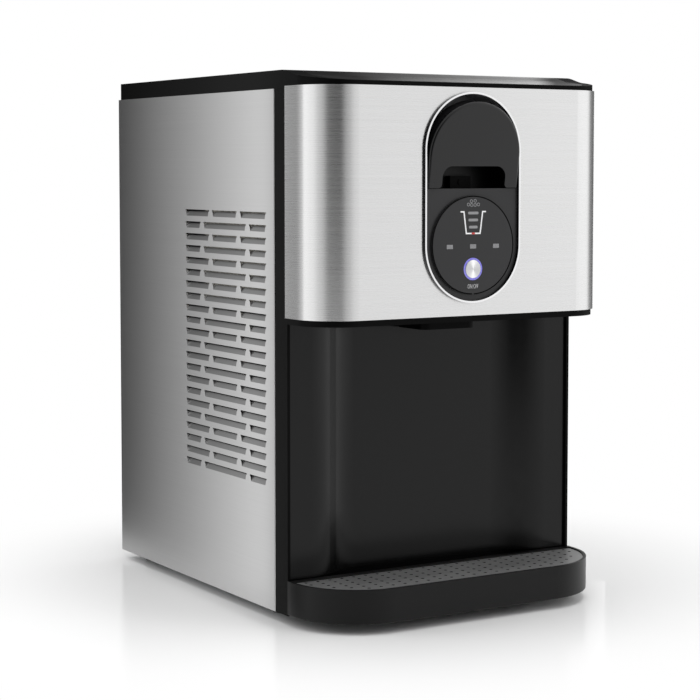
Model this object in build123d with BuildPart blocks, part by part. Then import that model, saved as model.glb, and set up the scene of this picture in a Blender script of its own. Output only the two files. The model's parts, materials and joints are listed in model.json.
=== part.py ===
from build123d import *
import math
import os

os.makedirs("parts", exist_ok=True)

# Countertop ice dispenser. Millimetres. X runs to the viewer's right, Y from the front to the
# back, and Z up from the surface that the feet stand on. The origin lies under the middle of
# the machine's outline, from the drip tray's front to the side panels' rear edges.

# Overall sizes
body_width = 281.0
body_depth = 297.5
panel_height = 421.0
foot_height = 7.5
lid_height = 14.5
tray_reach = 86.0
overrun = 2.0

half_width = body_width / 2
front_y = (tray_reach - body_depth) / 2
rear_y = front_y + body_depth
panel_bottom = foot_height
panel_top = panel_bottom + panel_height
top_z = panel_top + lid_height

# Sheet steel casing
panel_sheet = 1.2
panel_front_flange = 12.0
panel_top_flange = 9.0
rear_recess = 5.0
base_sheet = 1.5
base_flange = 14.0
base_tongue_width = 25.0
base_tongue_spacing = 150.0
base_tongue_reach = 62.0

panel_inner = half_width - panel_sheet
rear_outer_y = rear_y - rear_recess
rear_inner_y = rear_outer_y - panel_sheet
base_top = panel_bottom + base_sheet

# Louvres pressed into the side panels
louvre_rows = 22
louvre_pitch = 10.3
louvre_height = 5.5
louvre_depth = 2.4
louvre_slit = 1.4
louvre_slant = 1.6
louvre_drop = 98.5
louvre_front = 13.5
louvre_run = 145.8
louvre_gap = 5.4
louvre_short = 29.0
louvre_wall = 0.6
louvre_top = panel_top - louvre_drop

# Front frame, the black moulding that carries the head, the splash panel and the chute
frame_depth = 20.4
frame_inset = 0.4
frame_wall = 2.5
frame_half = half_width - frame_inset
frame_front_y = front_y - frame_depth
web_front_y = front_y - frame_wall

# Head
head_reach = 74.0
head_height = 183.0
head_top_rise = 1.5
head_proud = 1.6
head_corner = 36.0
head_sheet = 1.0
head_lip = 4.0
head_flange = 8.0
head_floor_height = 5.0
head_floor_wall = 2.5
cap_edge_height = 3.5

head_top = panel_top + head_top_rise
head_bottom = head_top - head_height
head_half = half_width + head_proud
head_front_y = front_y - head_reach
cap_front_y = head_front_y + head_proud
cap_corner = head_corner - head_proud

# Slope of the lid over the head: places behind the front edges of the side panels and drops
# from the top of the machine
slope_start = 17.0
slope_knee = 33.0
slope_knee_drop = 4.5
slope_crest_radius = 30.0
slope_knee_radius = 40.0

# Top frame and lid
rail_width = 14.5
lid_gap = 0.4
lid_thickness = 2.4
lid_ledge = 10.0
nose_band = 2.4
nose_corner = 22.0
rear_bar_inner = 25.0
rear_bar_step = 15.8
rear_sill = 1.2
top_frame_wall = 2.5
liner_gap = 3.0
liner_height = 14.0
liner_wall = 2.0
liner_front = 6.0
gasket_height = 4.0
hinge_back = 6.3
hinge_drop = 5.5
hinge_barrel_radius = 4.2
hinge_barrel_length = 14.0
hinge_pin_radius = 1.75
hinge_pin_length = 20.0
hinge_pin_hold = 9.0
pin_clearance = 0.05
skirt_thickness = 2.0
skirt_height = 9.5
skirt_inset = 0.25

# Controls on the head: a stadium-shaped group round the dispense flap and the control panel
pill_rise = 94.8
ring_width = 92.6
ring_height = 169.0
ring_face = 1.5
ring_proud = 2.5
control_proud = 2.0
housing_wall = 2.0
housing_depth = 24.0
panel_plate = 3.0
panel_gap = 0.2
split_rise = 7.6
shelf_thickness = 2.0
ledge_width = 2.5
pill_centre = head_bottom + pill_rise
panel_split = pill_centre + split_rise

pill_width = ring_width - 2 * ring_face
pill_height = ring_height - 2 * ring_face
shell_inner_y = head_front_y + head_sheet
housing_back_y = shell_inner_y + housing_depth
housing_floor_y = housing_back_y - housing_wall

# Dispense flap
flap_width = 87.4
flap_height = 68.3
flap_proud = 9.5
flap_wall = 2.2
flap_skirt = 13.0
flap_edge_radius = 2.0
flap_opening_width = 61.0
flap_opening_height = 17.5
flap_opening_corner = 9.0
flap_opening_flare = 3.0
flap_pin_radius = 1.5
flap_pin_below = 14.0
flap_pin_behind = 6.0
flap_pin_length = 44.0
flap_boss_radius = 3.6
flap_boss_width = 5.0
flap_boss_spacing = 22.0
lug_width = 4.0
lug_spacing = 34.0
lug_radius = 3.4
spring_wire = 1.0
spring_turns = 5
spring_gap = 0.5
switch_width = 20.0
switch_height = 10.0
switch_depth = 6.5

# Control panel
lamp_width = 5.9
lamp_height = 3.5
lamp_spacing = 22.5
lamp_drop = 39.0
lamp_count = 3
disc_diameter = 79.4
disc_drop = 38.0
button_drop = 57.2
light_ring_diameter = 17.9
button_diameter = 14.7
button_gap = 0.3
button_dome = 0.4
button_stem_radius = 2.5
button_flange = 1.2
button_travel = 1.5
light_ring_depth = 4.0
board_thickness = 1.6
board_margin = 5.0
board_height = 70.0
board_width = 60.0
board_standoff = 4.0
standoff_radius = 2.5
standoff_spacing = 44.0
standoff_rise = 40.0
tact_size = 6.0
tact_height = 3.5
button_spring_turns = 4
button_spring_wire = 0.7
lamp_centre = pill_centre - lamp_drop
button_centre = pill_centre - button_drop

# Chute
chute_width = 52.0
chute_wall = 2.0
chute_drop = 8.0
chute_front = 43.0
chute_back = 6.0
chute_corner = 7.0
chute_top_rise = 57.0
chute_roof_slope = 8.0
chute_mouth_rise = 21.0
chute_elbow_rise = 11.0
chute_flange = 5.0
chute_flange_thickness = 1.5
seat_gap = 0.3
gate_thickness = 2.0
gate_pin_radius = 1.25
gate_pin_above = 6.0
gate_barrel_radius = 2.4
gate_gap = 0.6
gate_side_gap = 1.2
chute_top = head_bottom + chute_top_rise
chute_mouth_bottom = head_bottom + chute_mouth_rise
chute_elbow = head_bottom + chute_elbow_rise

# Splash panel behind the glass
splash_bottom = 36.0
splash_edge_y = 18.0
splash_hollow = 14.0
splash_flat = 35.0
splash_slope = 26.0
splash_sheet = 1.5
splash_radius = 40.0
splash_gap = 0.2

# Drip tray and grid
tray_bottom = 8.4
tray_rim = 36.0
tray_corner = 60.5
tray_wall = 2.4
tray_floor = 2.5
tray_back_gap = 0.2
tray_edge_radius = 1.2
tongue_clearance = 0.5
grid_sheet = 1.2
grid_gap = 0.4
grid_below_rim = 1.0
grid_back = 26.0
grid_ledge = 3.0
hole_diameter = 2.8
hole_pitch_x = 11.2
hole_pitch_y = 8.4
hole_columns = 24
hole_rows = 7
hole_edge = 5.0

# Deck between the cold upper half and the machinery below
deck_sheet = 2.0
deck_below_head = 2.0
deck_pipe_hole = 34.0
deck_hose_gap = 1.5
deck_z = head_bottom - deck_below_head
deck_top = deck_z + deck_sheet

# Ice bin, its insulation and the auger
bin_wall = 3.0
bin_front = 8.0
bin_rear = 155.0
bin_side_gap = 15.3
bin_top_drop = 10.5
bin_shoulder_rise = 99.0
bin_rear_rise = 91.0
foam_wall = 12.0
foam_top_drop = 6.0
auger_rise = 43.0
auger_radius = 20.0
trough_radius = 24.0
auger_shaft_radius = 5.0
auger_pitch = 32.0
auger_wire = 2.5
auger_front_gap = 3.0
bush_radius = 9.0
bush_reach = 3.0
motor_radius = 28.0
motor_foot = 40.0
motor_gearbox = 16.0
motor_can_radius = 18.0
motor_can = 26.0
motor_gap = 2.0
outlet_width = 44.0
outlet_rise = 23.0
outlet_height = 30.0
bin_half_width = panel_inner - foam_wall - bin_side_gap
bin_top = panel_top - bin_top_drop
bin_shoulder = head_bottom + bin_shoulder_rise
bin_rear_top = head_bottom + bin_rear_rise
auger_centre_z = head_bottom + auger_rise
outlet_bottom = head_bottom + outlet_rise
outlet_top = outlet_bottom + outlet_height

# Ice maker at the back of the upper half
maker_axis_y = 245.0
maker_axis_drop = 40.5
cheek_thickness = 3.0
cheek_side_gap = 64.3
cheek_depth = 72.0
cheek_drop = 4.5
trough_inner = 34.0
trough_wall = 2.0
trough_side_gap = 1.0
axle_boss = 6.0
axle_radius = 3.0
axle_reach = 7.0
cross_bar = 4.0
cross_bar_height = 10.0
evap_height = 7.0
evap_half_depth = 15.0
evap_above = 18.0
finger_radius = 5.0
finger_length = 42.0
finger_end_gap = 23.0
finger_spacing_y = 16.0
finger_columns = 5
coil_radius = 2.5
coil_sink = 0.5
tray_motor_radius = 20.0
tray_motor_depth = 14.0
slide_sheet = 1.5
slide_drop = 12.0
slide_slot = 3.0
slide_slot_pitch = 12.0
slide_slots = 11
slide_border = 6.0
sensor_size = 8.0
sensor_length = 24.0
sensor_drop = 9.0
maker_axis_z = panel_top - maker_axis_drop
cheek_top = panel_top - cheek_drop
cheek_spacing = 2 * (panel_inner - cheek_side_gap)
finger_spacing_x = (cheek_spacing - 2 * finger_end_gap) / (finger_columns - 1)

# Water
tank_front = 214.0
tank_rear = 288.0
tank_side_gap = 61.3
tank_wall = 2.5
tank_rise = 87.0
pump_radius = 20.0
pump_height = 46.0
pump_x = 62.0
pump_y = 262.0
pump_outlet_z = 23.0
hose_x = 104.0
hose_rise = 34.0
hose_bend = 9.0
pump_spout_radius = 4.0
pump_spout = 8.0
hose_radius = 4.0
nipple_radius = 3.0
nipple_length = 10.0
drain_radius = 6.0
drain_bore = 3.5
drain_x = 20.0
drain_z = 40.0
drain_flange_radius = 11.0
drain_flange = 1.5
plug_head_radius = 8.0
plug_head = 3.0
plug_length = 9.0
drain_y = 266.0
tank_top = head_bottom + tank_rise
tank_half_width = panel_inner - tank_side_gap

# Cooling machinery on the base
compressor_radius = 52.0
compressor_pipe_rise = 37.5
compressor_dome = 26.0
compressor_side_gap = 77.3
compressor_y = 200.0
compressor_foot_edge = 10.0
compressor_foot = 2.5
mount_radius = 8.0
mount_height = 12.0
mount_ring = 58.0
mount_count = 4
bolt_radius = 2.0
bolt_head_radius = 4.0
bolt_head = 2.5
condenser_inset = 25.3
condenser_depth = 20.0
condenser_front = 34.0
condenser_run = 125.0
condenser_height = 150.0
fin_thickness = 1.0
fin_pitch = 6.5
tube_radius = 3.0
tube_rows = 6
shroud_wall = 2.0
shroud_depth = 16.0
fan_radius = 50.0
fan_gap = 2.0
fan_hub_radius = 14.0
fan_hub_depth = 12.0
fan_blades = 5
blade_thickness = 1.4
blade_angle = 30.0
blade_chord = 24.0
fan_tip_gap = 3.0
fan_shaft_radius = 2.0
fan_shaft_grip = 5.0
fan_motor_radius = 17.0
fan_motor_depth = 30.0
strut_width = 8.0
strut_thickness = 3.0
drier_radius = 9.0
drier_length = 70.0
drier_x = 30.0
drier_y = 176.0
drier_low = 47.0
pipe_radius = 2.5
pipe_bend = 10.0
pipe_inset = 37.3
liquid_run_drop = 45.0
suction_run_drop = 30.0
discharge_z = 48.0
board_web_gap = 8.0
power_board_width = 90.0
power_board_height = 110.0
power_board_z = 70.0
power_board_x = 60.0
post_radius = 3.0
capacitor_radius = 9.0
capacitor_height = 22.0
relay_size = 18.0
liquid_run_z = deck_z - liquid_run_drop
suction_run_z = deck_z - suction_run_drop
condenser_x = panel_inner - condenser_inset
pipe_x = panel_inner - pipe_inset
compressor_x = panel_inner - compressor_side_gap

# Rear panel fittings
inlet_width = 27.4
inlet_height = 19.8
inlet_flange = 8.0
inlet_flange_thickness = 2.0
inlet_wall = 1.6
inlet_depth = 17.0
inlet_inset = 48.5
inlet_z = 46.0
blade_width = 2.0
blade_height = 4.0
blade_spacing = 7.0
blade_length = 12.0
vent_count = 8
vent_pitch = 12.0
vent_height = 3.2
vent_width = 150.0
vent_z = 110.0
screw_radius = 1.9
screw_head_radius = 3.8
screw_head = 2.2
screw_length = 8.0
screw_margin = 16.0
screw_edge = 5.5
screw_clearance = 0.15
inlet_x = inlet_inset - half_width

# Feet
foot_radius = 12.0
foot_taper = 1.5
foot_inset_x = 24.0
foot_inset_y = 26.0
foot_screw_recess = 3.5
foot_recess_radius = 5.0
foot_screw_radius = 2.0
foot_screw_head_radius = 4.0
foot_screw_head = 2.5
foot_screw_over = 3.0


# Helpers


def block(x_span, y_span, z_span, mode=Mode.ADD):
    """Put a box between two places along each axis into the open part."""
    with Locations((x_span[0], y_span[0], z_span[0])):
        Box(
            x_span[1] - x_span[0],
            y_span[1] - y_span[0],
            z_span[1] - z_span[0],
            align=(Align.MIN, Align.MIN, Align.MIN),
            mode=mode,
        )


def prism(plane, points, depth):
    """Return a solid with a straight-sided outline drawn on a plane."""
    with BuildPart(mode=Mode.PRIVATE) as solid:
        with BuildSketch(plane):
            with BuildLine():
                Polyline(*points, close=True)
            make_face()
        extrude(amount=depth)
    return solid.part


def round_front(half, front, back, corner, height):
    """Return a flat outline whose two front corners are rounded."""
    reach = max(back - front, corner + overrun)
    with BuildSketch(Plane.XY.offset(height)) as outline:
        with Locations((0, front + reach / 2)):
            Rectangle(2 * half, reach)
        fillet(outline.vertices().group_by(Axis.Y)[0], corner)
        if reach > back - front:
            with Locations((0, back)):
                Rectangle(2 * half, reach, align=(Align.CENTER, Align.MIN), mode=Mode.SUBTRACT)
    return outline.sketch


def front_stadium(width, height, centre_z, y):
    """Return an upright stadium that faces the front."""
    with BuildSketch(Plane.XZ.offset(-y)) as outline:
        with Locations((0, centre_z)):
            SlotOverall(height, width, rotation=90)
    return outline.sketch


def rod(axis, centre, radius, length, mode=Mode.ADD):
    """Put a cylinder along X, Y or Z, centred on a point, into the open part."""
    turns = {"x": (0, 90, 0), "y": (90, 0, 0), "z": (0, 0, 0)}
    with Locations(Location(centre, turns[axis])):
        Cylinder(radius, length, mode=mode)


# Casing

with BuildPart() as base_plate:
    block((-panel_inner, panel_inner), (front_y, rear_inner_y), (panel_bottom, base_top))
    for side in (-1, 1):
        flange = sorted((side * panel_inner, side * (panel_inner - base_sheet)))
        block(
            flange,
            (front_y + panel_sheet, rear_inner_y - panel_sheet),
            (base_top, base_top + base_flange),
        )
        tongue = side * base_tongue_spacing / 2
        block(
            (tongue - base_tongue_width / 2, tongue + base_tongue_width / 2),
            (front_y - base_tongue_reach, front_y),
            (panel_bottom, base_top),
        )
    foot_places = [
        (side * (half_width - foot_inset_x), y)
        for side in (-1, 1)
        for y in (front_y + foot_inset_y, rear_y - foot_inset_y)
    ]
    with Locations(*[(x, y, panel_bottom + base_sheet / 2) for x, y in foot_places]):
        Cylinder(foot_screw_radius + screw_clearance, base_sheet + overrun, mode=Mode.SUBTRACT)
    compressor_places = [
        (
            -compressor_x + mount_ring * math.cos(math.radians(45 + 90 * turn)),
            front_y + compressor_y + mount_ring * math.sin(math.radians(45 + 90 * turn)),
        )
        for turn in range(mount_count)
    ]
    with Locations(*[(x, y, panel_bottom + base_sheet / 2) for x, y in compressor_places]):
        Cylinder(bolt_radius + screw_clearance, base_sheet + overrun, mode=Mode.SUBTRACT)
base_plate.part.label = "base_plate"
export_step(base_plate.part, "parts/base_plate.step")

with BuildPart() as rubber_feet:
    with Locations(*[(x, y, 0) for x, y in foot_places]):
        Cone(
            foot_radius - foot_taper,
            foot_radius,
            foot_height,
            align=(Align.CENTER, Align.CENTER, Align.MIN),
        )
    with Locations(*[(x, y, 0) for x, y in foot_places]):
        Cylinder(
            foot_recess_radius,
            foot_screw_recess,
            align=(Align.CENTER, Align.CENTER, Align.MIN),
            mode=Mode.SUBTRACT,
        )
        Cylinder(
            foot_screw_radius + screw_clearance,
            foot_height,
            align=(Align.CENTER, Align.CENTER, Align.MIN),
            mode=Mode.SUBTRACT,
        )
rubber_feet.part.label = "rubber_feet"
export_step(rubber_feet.part, "parts/rubber_feet.step")


def louvre_spans(row):
    """Return the start and the end of each slot in a row, behind the front of the panel."""
    equal = (louvre_run - 2 * louvre_gap) / 3
    longest = louvre_run - 2 * louvre_gap - 2 * louvre_short
    lengths = (equal, equal, equal) if row % 2 == 0 else (louvre_short, longest, louvre_short)
    spans = []
    start = front_y + louvre_front
    for length in lengths:
        spans.append((start, start + length))
        start += length + louvre_gap
    return spans


def louvre_outline(slot, inset):
    """Return the corners of a slot, narrower at its foot, with its two ends drawn in by an inset."""
    start, end, low, high = slot
    return [
        (start + inset, high),
        (end - inset, high),
        (end - louvre_slant - inset, low),
        (start + louvre_slant + inset, low),
    ]


slots = []
for row in range(louvre_rows):
    slot_top = louvre_top - row * louvre_pitch
    for start, end in louvre_spans(row):
        slots.append((start, end, slot_top - louvre_height, slot_top))

rear_flange_z = (base_top + base_flange, panel_top - panel_sheet)
screw_places = [
    (side * (panel_inner - screw_edge), z)
    for side in (-1, 1)
    for z in (
        rear_flange_z[0] + screw_margin,
        (rear_flange_z[0] + rear_flange_z[1]) / 2,
        rear_flange_z[1] - screw_margin,
    )
]
with BuildPart() as left_side_panel:
    block((-half_width, -panel_inner), (front_y, rear_y), (panel_bottom, panel_top))
    block(
        (-panel_inner, panel_front_flange - panel_inner),
        (front_y, front_y + panel_sheet),
        (base_top, panel_top),
    )
    block(
        (-panel_inner, panel_top_flange - panel_inner),
        (front_y + panel_sheet, rear_inner_y),
        (panel_top - panel_sheet, panel_top),
    )
    block(
        (-panel_inner, panel_front_flange - panel_inner),
        (rear_inner_y - panel_sheet, rear_inner_y),
        rear_flange_z,
    )
    with BuildSketch(Plane.XZ.offset(-rear_inner_y)):
        with Locations(*[place for place in screw_places if place[0] < 0]):
            Circle(screw_radius + screw_clearance)
    extrude(amount=panel_sheet, mode=Mode.SUBTRACT)
    front_edge = left_side_panel.edges().filter_by(Axis.Z).group_by(Axis.X)[0].sort_by(Axis.Y)[0]
    fillet(front_edge, panel_sheet / 2)
    louvre_plane = Plane.YZ.offset(-half_width)
    louvre_reach = louvre_depth + louvre_wall
    with BuildSketch(louvre_plane):
        for slot in slots:
            Polygon(*louvre_outline(slot, 0), align=None)
    extrude(amount=panel_sheet, mode=Mode.SUBTRACT)
    ramps = []
    for slot in slots:
        start, end, low, high = slot
        ramp = [
            (-half_width, low),
            (-half_width + louvre_depth, high - louvre_slit),
            (-half_width + louvre_reach, high - louvre_slit),
            (-panel_inner, low),
        ]
        cheek = [
            (-half_width, low),
            (-half_width + louvre_depth, high - louvre_slit),
            (-half_width, high - louvre_slit),
        ]
        hole = prism(louvre_plane, louvre_outline(slot, 0), louvre_reach)
        mouth = prism(louvre_plane, louvre_outline(slot, louvre_wall), louvre_reach)
        ramps.append(prism(Plane.XZ.offset(-end), ramp, end - start) & hole)
        ramps.append((prism(Plane.XZ.offset(-end), cheek, end - start) & hole) - mouth)
    add(ramps)
left_side_panel.part.label = "left_side_panel"
export_step(left_side_panel.part, "parts/left_side_panel.step")

with BuildPart() as right_side_panel:
    mirror(left_side_panel.part, about=Plane.YZ)
right_side_panel.part.label = "right_side_panel"
export_step(right_side_panel.part, "parts/right_side_panel.step")

with BuildPart() as rear_panel:
    block((-panel_inner, panel_inner), (rear_inner_y, rear_outer_y), (panel_bottom, panel_top))
    with BuildSketch(Plane.XZ.offset(-rear_outer_y)):
        with Locations((inlet_x, inlet_z)):
            Rectangle(inlet_width + 2 * seat_gap, inlet_height + 2 * seat_gap)
        with Locations((drain_x, drain_z)):
            Circle(drain_radius + seat_gap)
        with Locations((0, vent_z)):
            with GridLocations(vent_width, vent_pitch, 1, vent_count):
                SlotOverall(vent_width, vent_height)
        with Locations(*screw_places):
            Circle(screw_radius + screw_clearance)
    extrude(amount=panel_sheet, mode=Mode.SUBTRACT)
rear_panel.part.label = "rear_panel"
export_step(rear_panel.part, "parts/rear_panel.step")

with BuildPart() as casing_screws:
    for x, z in screw_places:
        rod("y", (x, rear_outer_y + screw_head / 2, z), screw_head_radius, screw_head)
        rod("y", (x, rear_outer_y - screw_length / 2, z), screw_radius, screw_length)
    with Locations(*[(x, y, foot_screw_recess - foot_screw_head) for x, y in foot_places]):
        Cylinder(foot_screw_head_radius, foot_screw_head, align=(Align.CENTER, Align.CENTER, Align.MIN))
        Cylinder(
            foot_screw_radius,
            foot_screw_head + base_top - foot_screw_recess + foot_screw_over,
            align=(Align.CENTER, Align.CENTER, Align.MIN),
        )
casing_screws.part.label = "casing_screws"
export_step(casing_screws.part, "parts/casing_screws.step")

# Front frame, splash panel and head

web_opening_low = chute_elbow - seat_gap
web_opening_high = chute_top + seat_gap
chute_half = chute_width / 2
frame_inner_half = frame_half - frame_wall
head_floor_z = head_bottom - head_floor_height

with BuildPart() as front_frame:
    block((-frame_half, frame_half), (frame_front_y, front_y), (panel_bottom, panel_top))
    block(
        (-frame_inner_half, frame_inner_half),
        (frame_front_y - overrun, web_front_y),
        (panel_bottom + frame_wall, panel_top - frame_wall),
        mode=Mode.SUBTRACT,
    )
    block(
        (-chute_half - seat_gap, chute_half + seat_gap),
        (web_front_y - overrun, front_y + overrun),
        (web_opening_low, web_opening_high),
        mode=Mode.SUBTRACT,
    )
    for side in (-1, 1):
        tongue = side * base_tongue_spacing / 2
        block(
            (
                tongue - base_tongue_width / 2 - tongue_clearance,
                tongue + base_tongue_width / 2 + tongue_clearance,
            ),
            (frame_front_y - overrun, front_y + overrun),
            (panel_bottom - overrun, base_top),
            mode=Mode.SUBTRACT,
        )
front_frame.part.label = "front_frame"
export_step(front_frame.part, "parts/front_frame.step")


def splash_line(depth):
    """Return the plan points of the splash panel's face, set back by a depth."""
    edge = frame_inner_half - splash_gap
    middle = half_width - splash_flat - splash_slope
    back = front_y - splash_edge_y + depth
    hollow = back + splash_hollow
    return [
        (-edge, back),
        (splash_flat - half_width, back),
        (-middle, hollow),
        (middle, hollow),
        (half_width - splash_flat, back),
        (edge, back),
    ]


with BuildPart() as splash_panel:
    with BuildSketch(Plane.XY.offset(splash_bottom)) as splash_plan:
        with BuildLine():
            Polyline(*splash_line(0), *reversed(splash_line(splash_sheet)), close=True)
        make_face()
        inner_corners = splash_plan.vertices().filter_by(
            lambda corner: abs(corner.X) < frame_inner_half - 2 * splash_gap
        )
        fillet(inner_corners, splash_radius)
    extrude(amount=head_floor_z - splash_bottom)
splash_panel.part.label = "splash_panel"
export_step(splash_panel.part, "parts/splash_panel.step")

chute_front_y = front_y - chute_front
chute_back_y = front_y - chute_back
chute_bottom_z = head_floor_z - chute_drop

with BuildPart() as head_floor:
    extrude(
        round_front(half_width, cap_front_y, frame_front_y, cap_corner, head_floor_z),
        amount=head_floor_height,
    )
    block(
        (-frame_inner_half + splash_gap, frame_inner_half - splash_gap),
        (frame_front_y, web_front_y),
        (head_floor_z, head_floor_z + head_floor_wall),
    )
    pocket = round_front(
        half_width - head_floor_wall,
        cap_front_y + head_floor_wall,
        frame_front_y,
        cap_corner - head_floor_wall,
        head_floor_z + head_floor_wall,
    )
    extrude(pocket, amount=head_floor_height, mode=Mode.SUBTRACT)
    block(
        (-chute_half - seat_gap, chute_half + seat_gap),
        (chute_front_y - seat_gap, chute_back_y + seat_gap),
        (head_floor_z - overrun, head_bottom + overrun),
        mode=Mode.SUBTRACT,
    )
head_floor.part.label = "head_floor"
export_step(head_floor.part, "parts/head_floor.step")

with BuildPart() as head_shell:
    extrude(
        round_front(head_half, head_front_y, frame_front_y, head_corner, head_bottom),
        amount=head_top - head_bottom,
    )
    lip_cut = round_front(
        head_half - head_lip,
        head_front_y + head_lip,
        frame_front_y,
        head_corner - head_lip,
        head_bottom,
    )
    extrude(lip_cut, amount=head_top - head_bottom, mode=Mode.SUBTRACT)
    shell_cut = round_front(
        head_half - head_sheet,
        head_front_y + head_sheet,
        frame_front_y,
        head_corner - head_sheet,
        head_bottom + head_sheet,
    )
    extrude(shell_cut, amount=head_top - head_bottom - 2 * head_sheet, mode=Mode.SUBTRACT)
    for side in (-1, 1):
        flange = sorted((side * (head_half - head_sheet), side * (head_half - head_flange)))
        block(
            flange,
            (frame_front_y - head_sheet, frame_front_y),
            (head_bottom, head_top),
        )
    extrude(
        front_stadium(pill_width, pill_height, pill_centre, head_front_y + head_sheet),
        amount=head_sheet,
        mode=Mode.SUBTRACT,
    )
head_shell.part.label = "head_shell"
export_step(head_shell.part, "parts/head_shell.step")

with BuildPart() as trim_ring:
    extrude(front_stadium(ring_width, ring_height, pill_centre, head_front_y), amount=ring_proud)
    extrude(
        front_stadium(pill_width, pill_height, pill_centre, head_front_y),
        amount=ring_proud,
        mode=Mode.SUBTRACT,
    )
trim_ring.part.label = "trim_ring"
export_step(trim_ring.part, "parts/trim_ring.step")

# Dispense flap: its face leans out at the top, so its sizes are laid out on that leaning plane

flap_bottom_z = panel_split + seat_gap
flap_lean = math.atan2(flap_proud, flap_height)
flap_length = math.hypot(flap_proud, flap_height)
flap_face = Plane(
    origin=(0, head_front_y - control_proud, flap_bottom_z),
    x_dir=(1, 0, 0),
    z_dir=(0, -math.cos(flap_lean), -math.sin(flap_lean)),
)


def flap_point(x, up, behind):
    """Return the place of a point that lies up the flap's face and behind it."""
    return flap_face.from_local_coords(Vector(x, up, -behind))


flap_pin_centre = flap_point(0, flap_length - flap_pin_below, flap_pin_behind)

with BuildPart() as control_housing:
    depth = housing_back_y - shell_inner_y
    extrude(front_stadium(ring_width, ring_height, pill_centre, housing_back_y), amount=depth)
    extrude(
        front_stadium(pill_width, pill_height, pill_centre, housing_floor_y),
        amount=depth,
        mode=Mode.SUBTRACT,
    )
    shelf_top = panel_split - panel_gap
    lower_y = head_front_y + panel_plate
    with BuildSketch(Plane.XZ.offset(-housing_floor_y)):
        with Locations((0, pill_centre)):
            SlotOverall(pill_height, pill_width, rotation=90)
            SlotOverall(
                pill_height - 2 * ledge_width,
                pill_width - 2 * ledge_width,
                rotation=90,
                mode=Mode.SUBTRACT,
            )
        with Locations((0, shelf_top)):
            Rectangle(
                ring_width,
                ring_height,
                align=(Align.CENTER, Align.MIN),
                mode=Mode.SUBTRACT,
            )
        with Locations((0, shelf_top)):
            Rectangle(pill_width, shelf_thickness, align=(Align.CENTER, Align.MAX))
    extrude(amount=housing_floor_y - lower_y)
    lug_x = lug_spacing / 2
    for side in (-1, 1):
        lug = (side * lug_x - lug_width / 2, side * lug_x + lug_width / 2)
        block(
            lug,
            (flap_pin_centre.Y, housing_floor_y),
            (flap_pin_centre.Z - lug_radius, flap_pin_centre.Z + lug_radius),
        )
        rod("x", (side * lug_x, flap_pin_centre.Y, flap_pin_centre.Z), lug_radius, lug_width)
    rod("x", flap_pin_centre, flap_pin_radius, flap_pin_length, mode=Mode.SUBTRACT)
    board_z = button_centre - board_margin
    for x in (-standoff_spacing / 2, standoff_spacing / 2):
        for z in (board_z, board_z + standoff_rise):
            rod("y", (x, housing_floor_y - board_standoff / 2, z), standoff_radius, board_standoff)
control_housing.part.label = "control_housing"
export_step(control_housing.part, "parts/control_housing.step")

with BuildPart() as flap_pin:
    rod("x", flap_pin_centre, flap_pin_radius, flap_pin_length)
flap_pin.part.label = "flap_pin"
export_step(flap_pin.part, "parts/flap_pin.step")


def flap_outline(inset):
    """Return the flap's domed outline on its leaning face, drawn in by an inset."""
    half = flap_width / 2 - inset
    shoulder = flap_length - flap_width / 2
    with BuildSketch(flap_face) as outline:
        with BuildLine():
            Line((-half, 0), (half, 0))
            Line((half, 0), (half, shoulder))
            ThreePointArc((half, shoulder), (0, shoulder + half), (-half, shoulder))
            Line((-half, shoulder), (-half, 0))
        make_face()
    return outline.sketch


with BuildPart() as dispense_flap:
    extrude(flap_outline(0), amount=-flap_skirt)
    face_edges = dispense_flap.faces().sort_by(Axis.Y)[0].edges()
    fillet(face_edges.group_by(Axis.Z)[1:], flap_edge_radius)
    hollow = flap_outline(flap_wall)
    extrude(hollow.moved(Location(flap_face.z_dir * -flap_wall)), amount=-flap_skirt, mode=Mode.SUBTRACT)
    with BuildSketch(flap_face):
        with BuildLine():
            half = flap_opening_width / 2
            rise = flap_opening_height - flap_opening_corner
            foot = half + flap_opening_flare
            crown = half - flap_opening_corner
            Line((-foot, 0), (foot, 0))
            JernArc((foot, 0), (-1, 0), flap_opening_flare, -90)
            Line((half, flap_opening_flare), (half, rise))
            JernArc((half, rise), (0, 1), flap_opening_corner, 90)
            Line((crown, flap_opening_height), (-crown, flap_opening_height))
            JernArc((-crown, flap_opening_height), (-1, 0), flap_opening_corner, 90)
            Line((-half, rise), (-half, flap_opening_flare))
            JernArc((-half, flap_opening_flare), (0, -1), flap_opening_flare, -90)
        make_face()
    extrude(amount=-flap_wall, mode=Mode.SUBTRACT)
    for side in (-1, 1):
        x = side * flap_boss_spacing / 2
        rod("x", flap_pin_centre + Vector(x, 0, 0), flap_boss_radius, flap_boss_width)
        boss_behind = (flap_wall + flap_pin_behind) / 2
        boss_foot = flap_point(x, flap_length - flap_pin_below, boss_behind)
        with Locations(Location(Plane(boss_foot, x_dir=(1, 0, 0), z_dir=flap_face.z_dir))):
            Box(flap_boss_width, 2 * flap_boss_radius, flap_pin_behind - flap_wall)
    rod(
        "x",
        flap_pin_centre,
        flap_pin_radius + pin_clearance,
        flap_boss_spacing + 2 * flap_boss_width,
        mode=Mode.SUBTRACT,
    )
dispense_flap.part.label = "dispense_flap"
export_step(dispense_flap.part, "parts/dispense_flap.step")

spring_radius = flap_pin_radius + spring_gap + spring_wire / 2
spring_length = spring_turns * (spring_wire + spring_gap)
with BuildPart() as flap_spring:
    spring_start = flap_pin_centre - Vector(spring_length / 2, 0, 0)
    with BuildLine() as coil:
        Helix(
            spring_wire + spring_gap,
            spring_length,
            spring_radius,
            center=spring_start,
            direction=(1, 0, 0),
        )
    with BuildSketch(Plane(origin=coil.line @ 0, z_dir=coil.line % 0)):
        Circle(spring_wire / 2)
    sweep(path=coil.line)
flap_spring.part.label = "flap_spring"
export_step(flap_spring.part, "parts/flap_spring.step")

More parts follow.
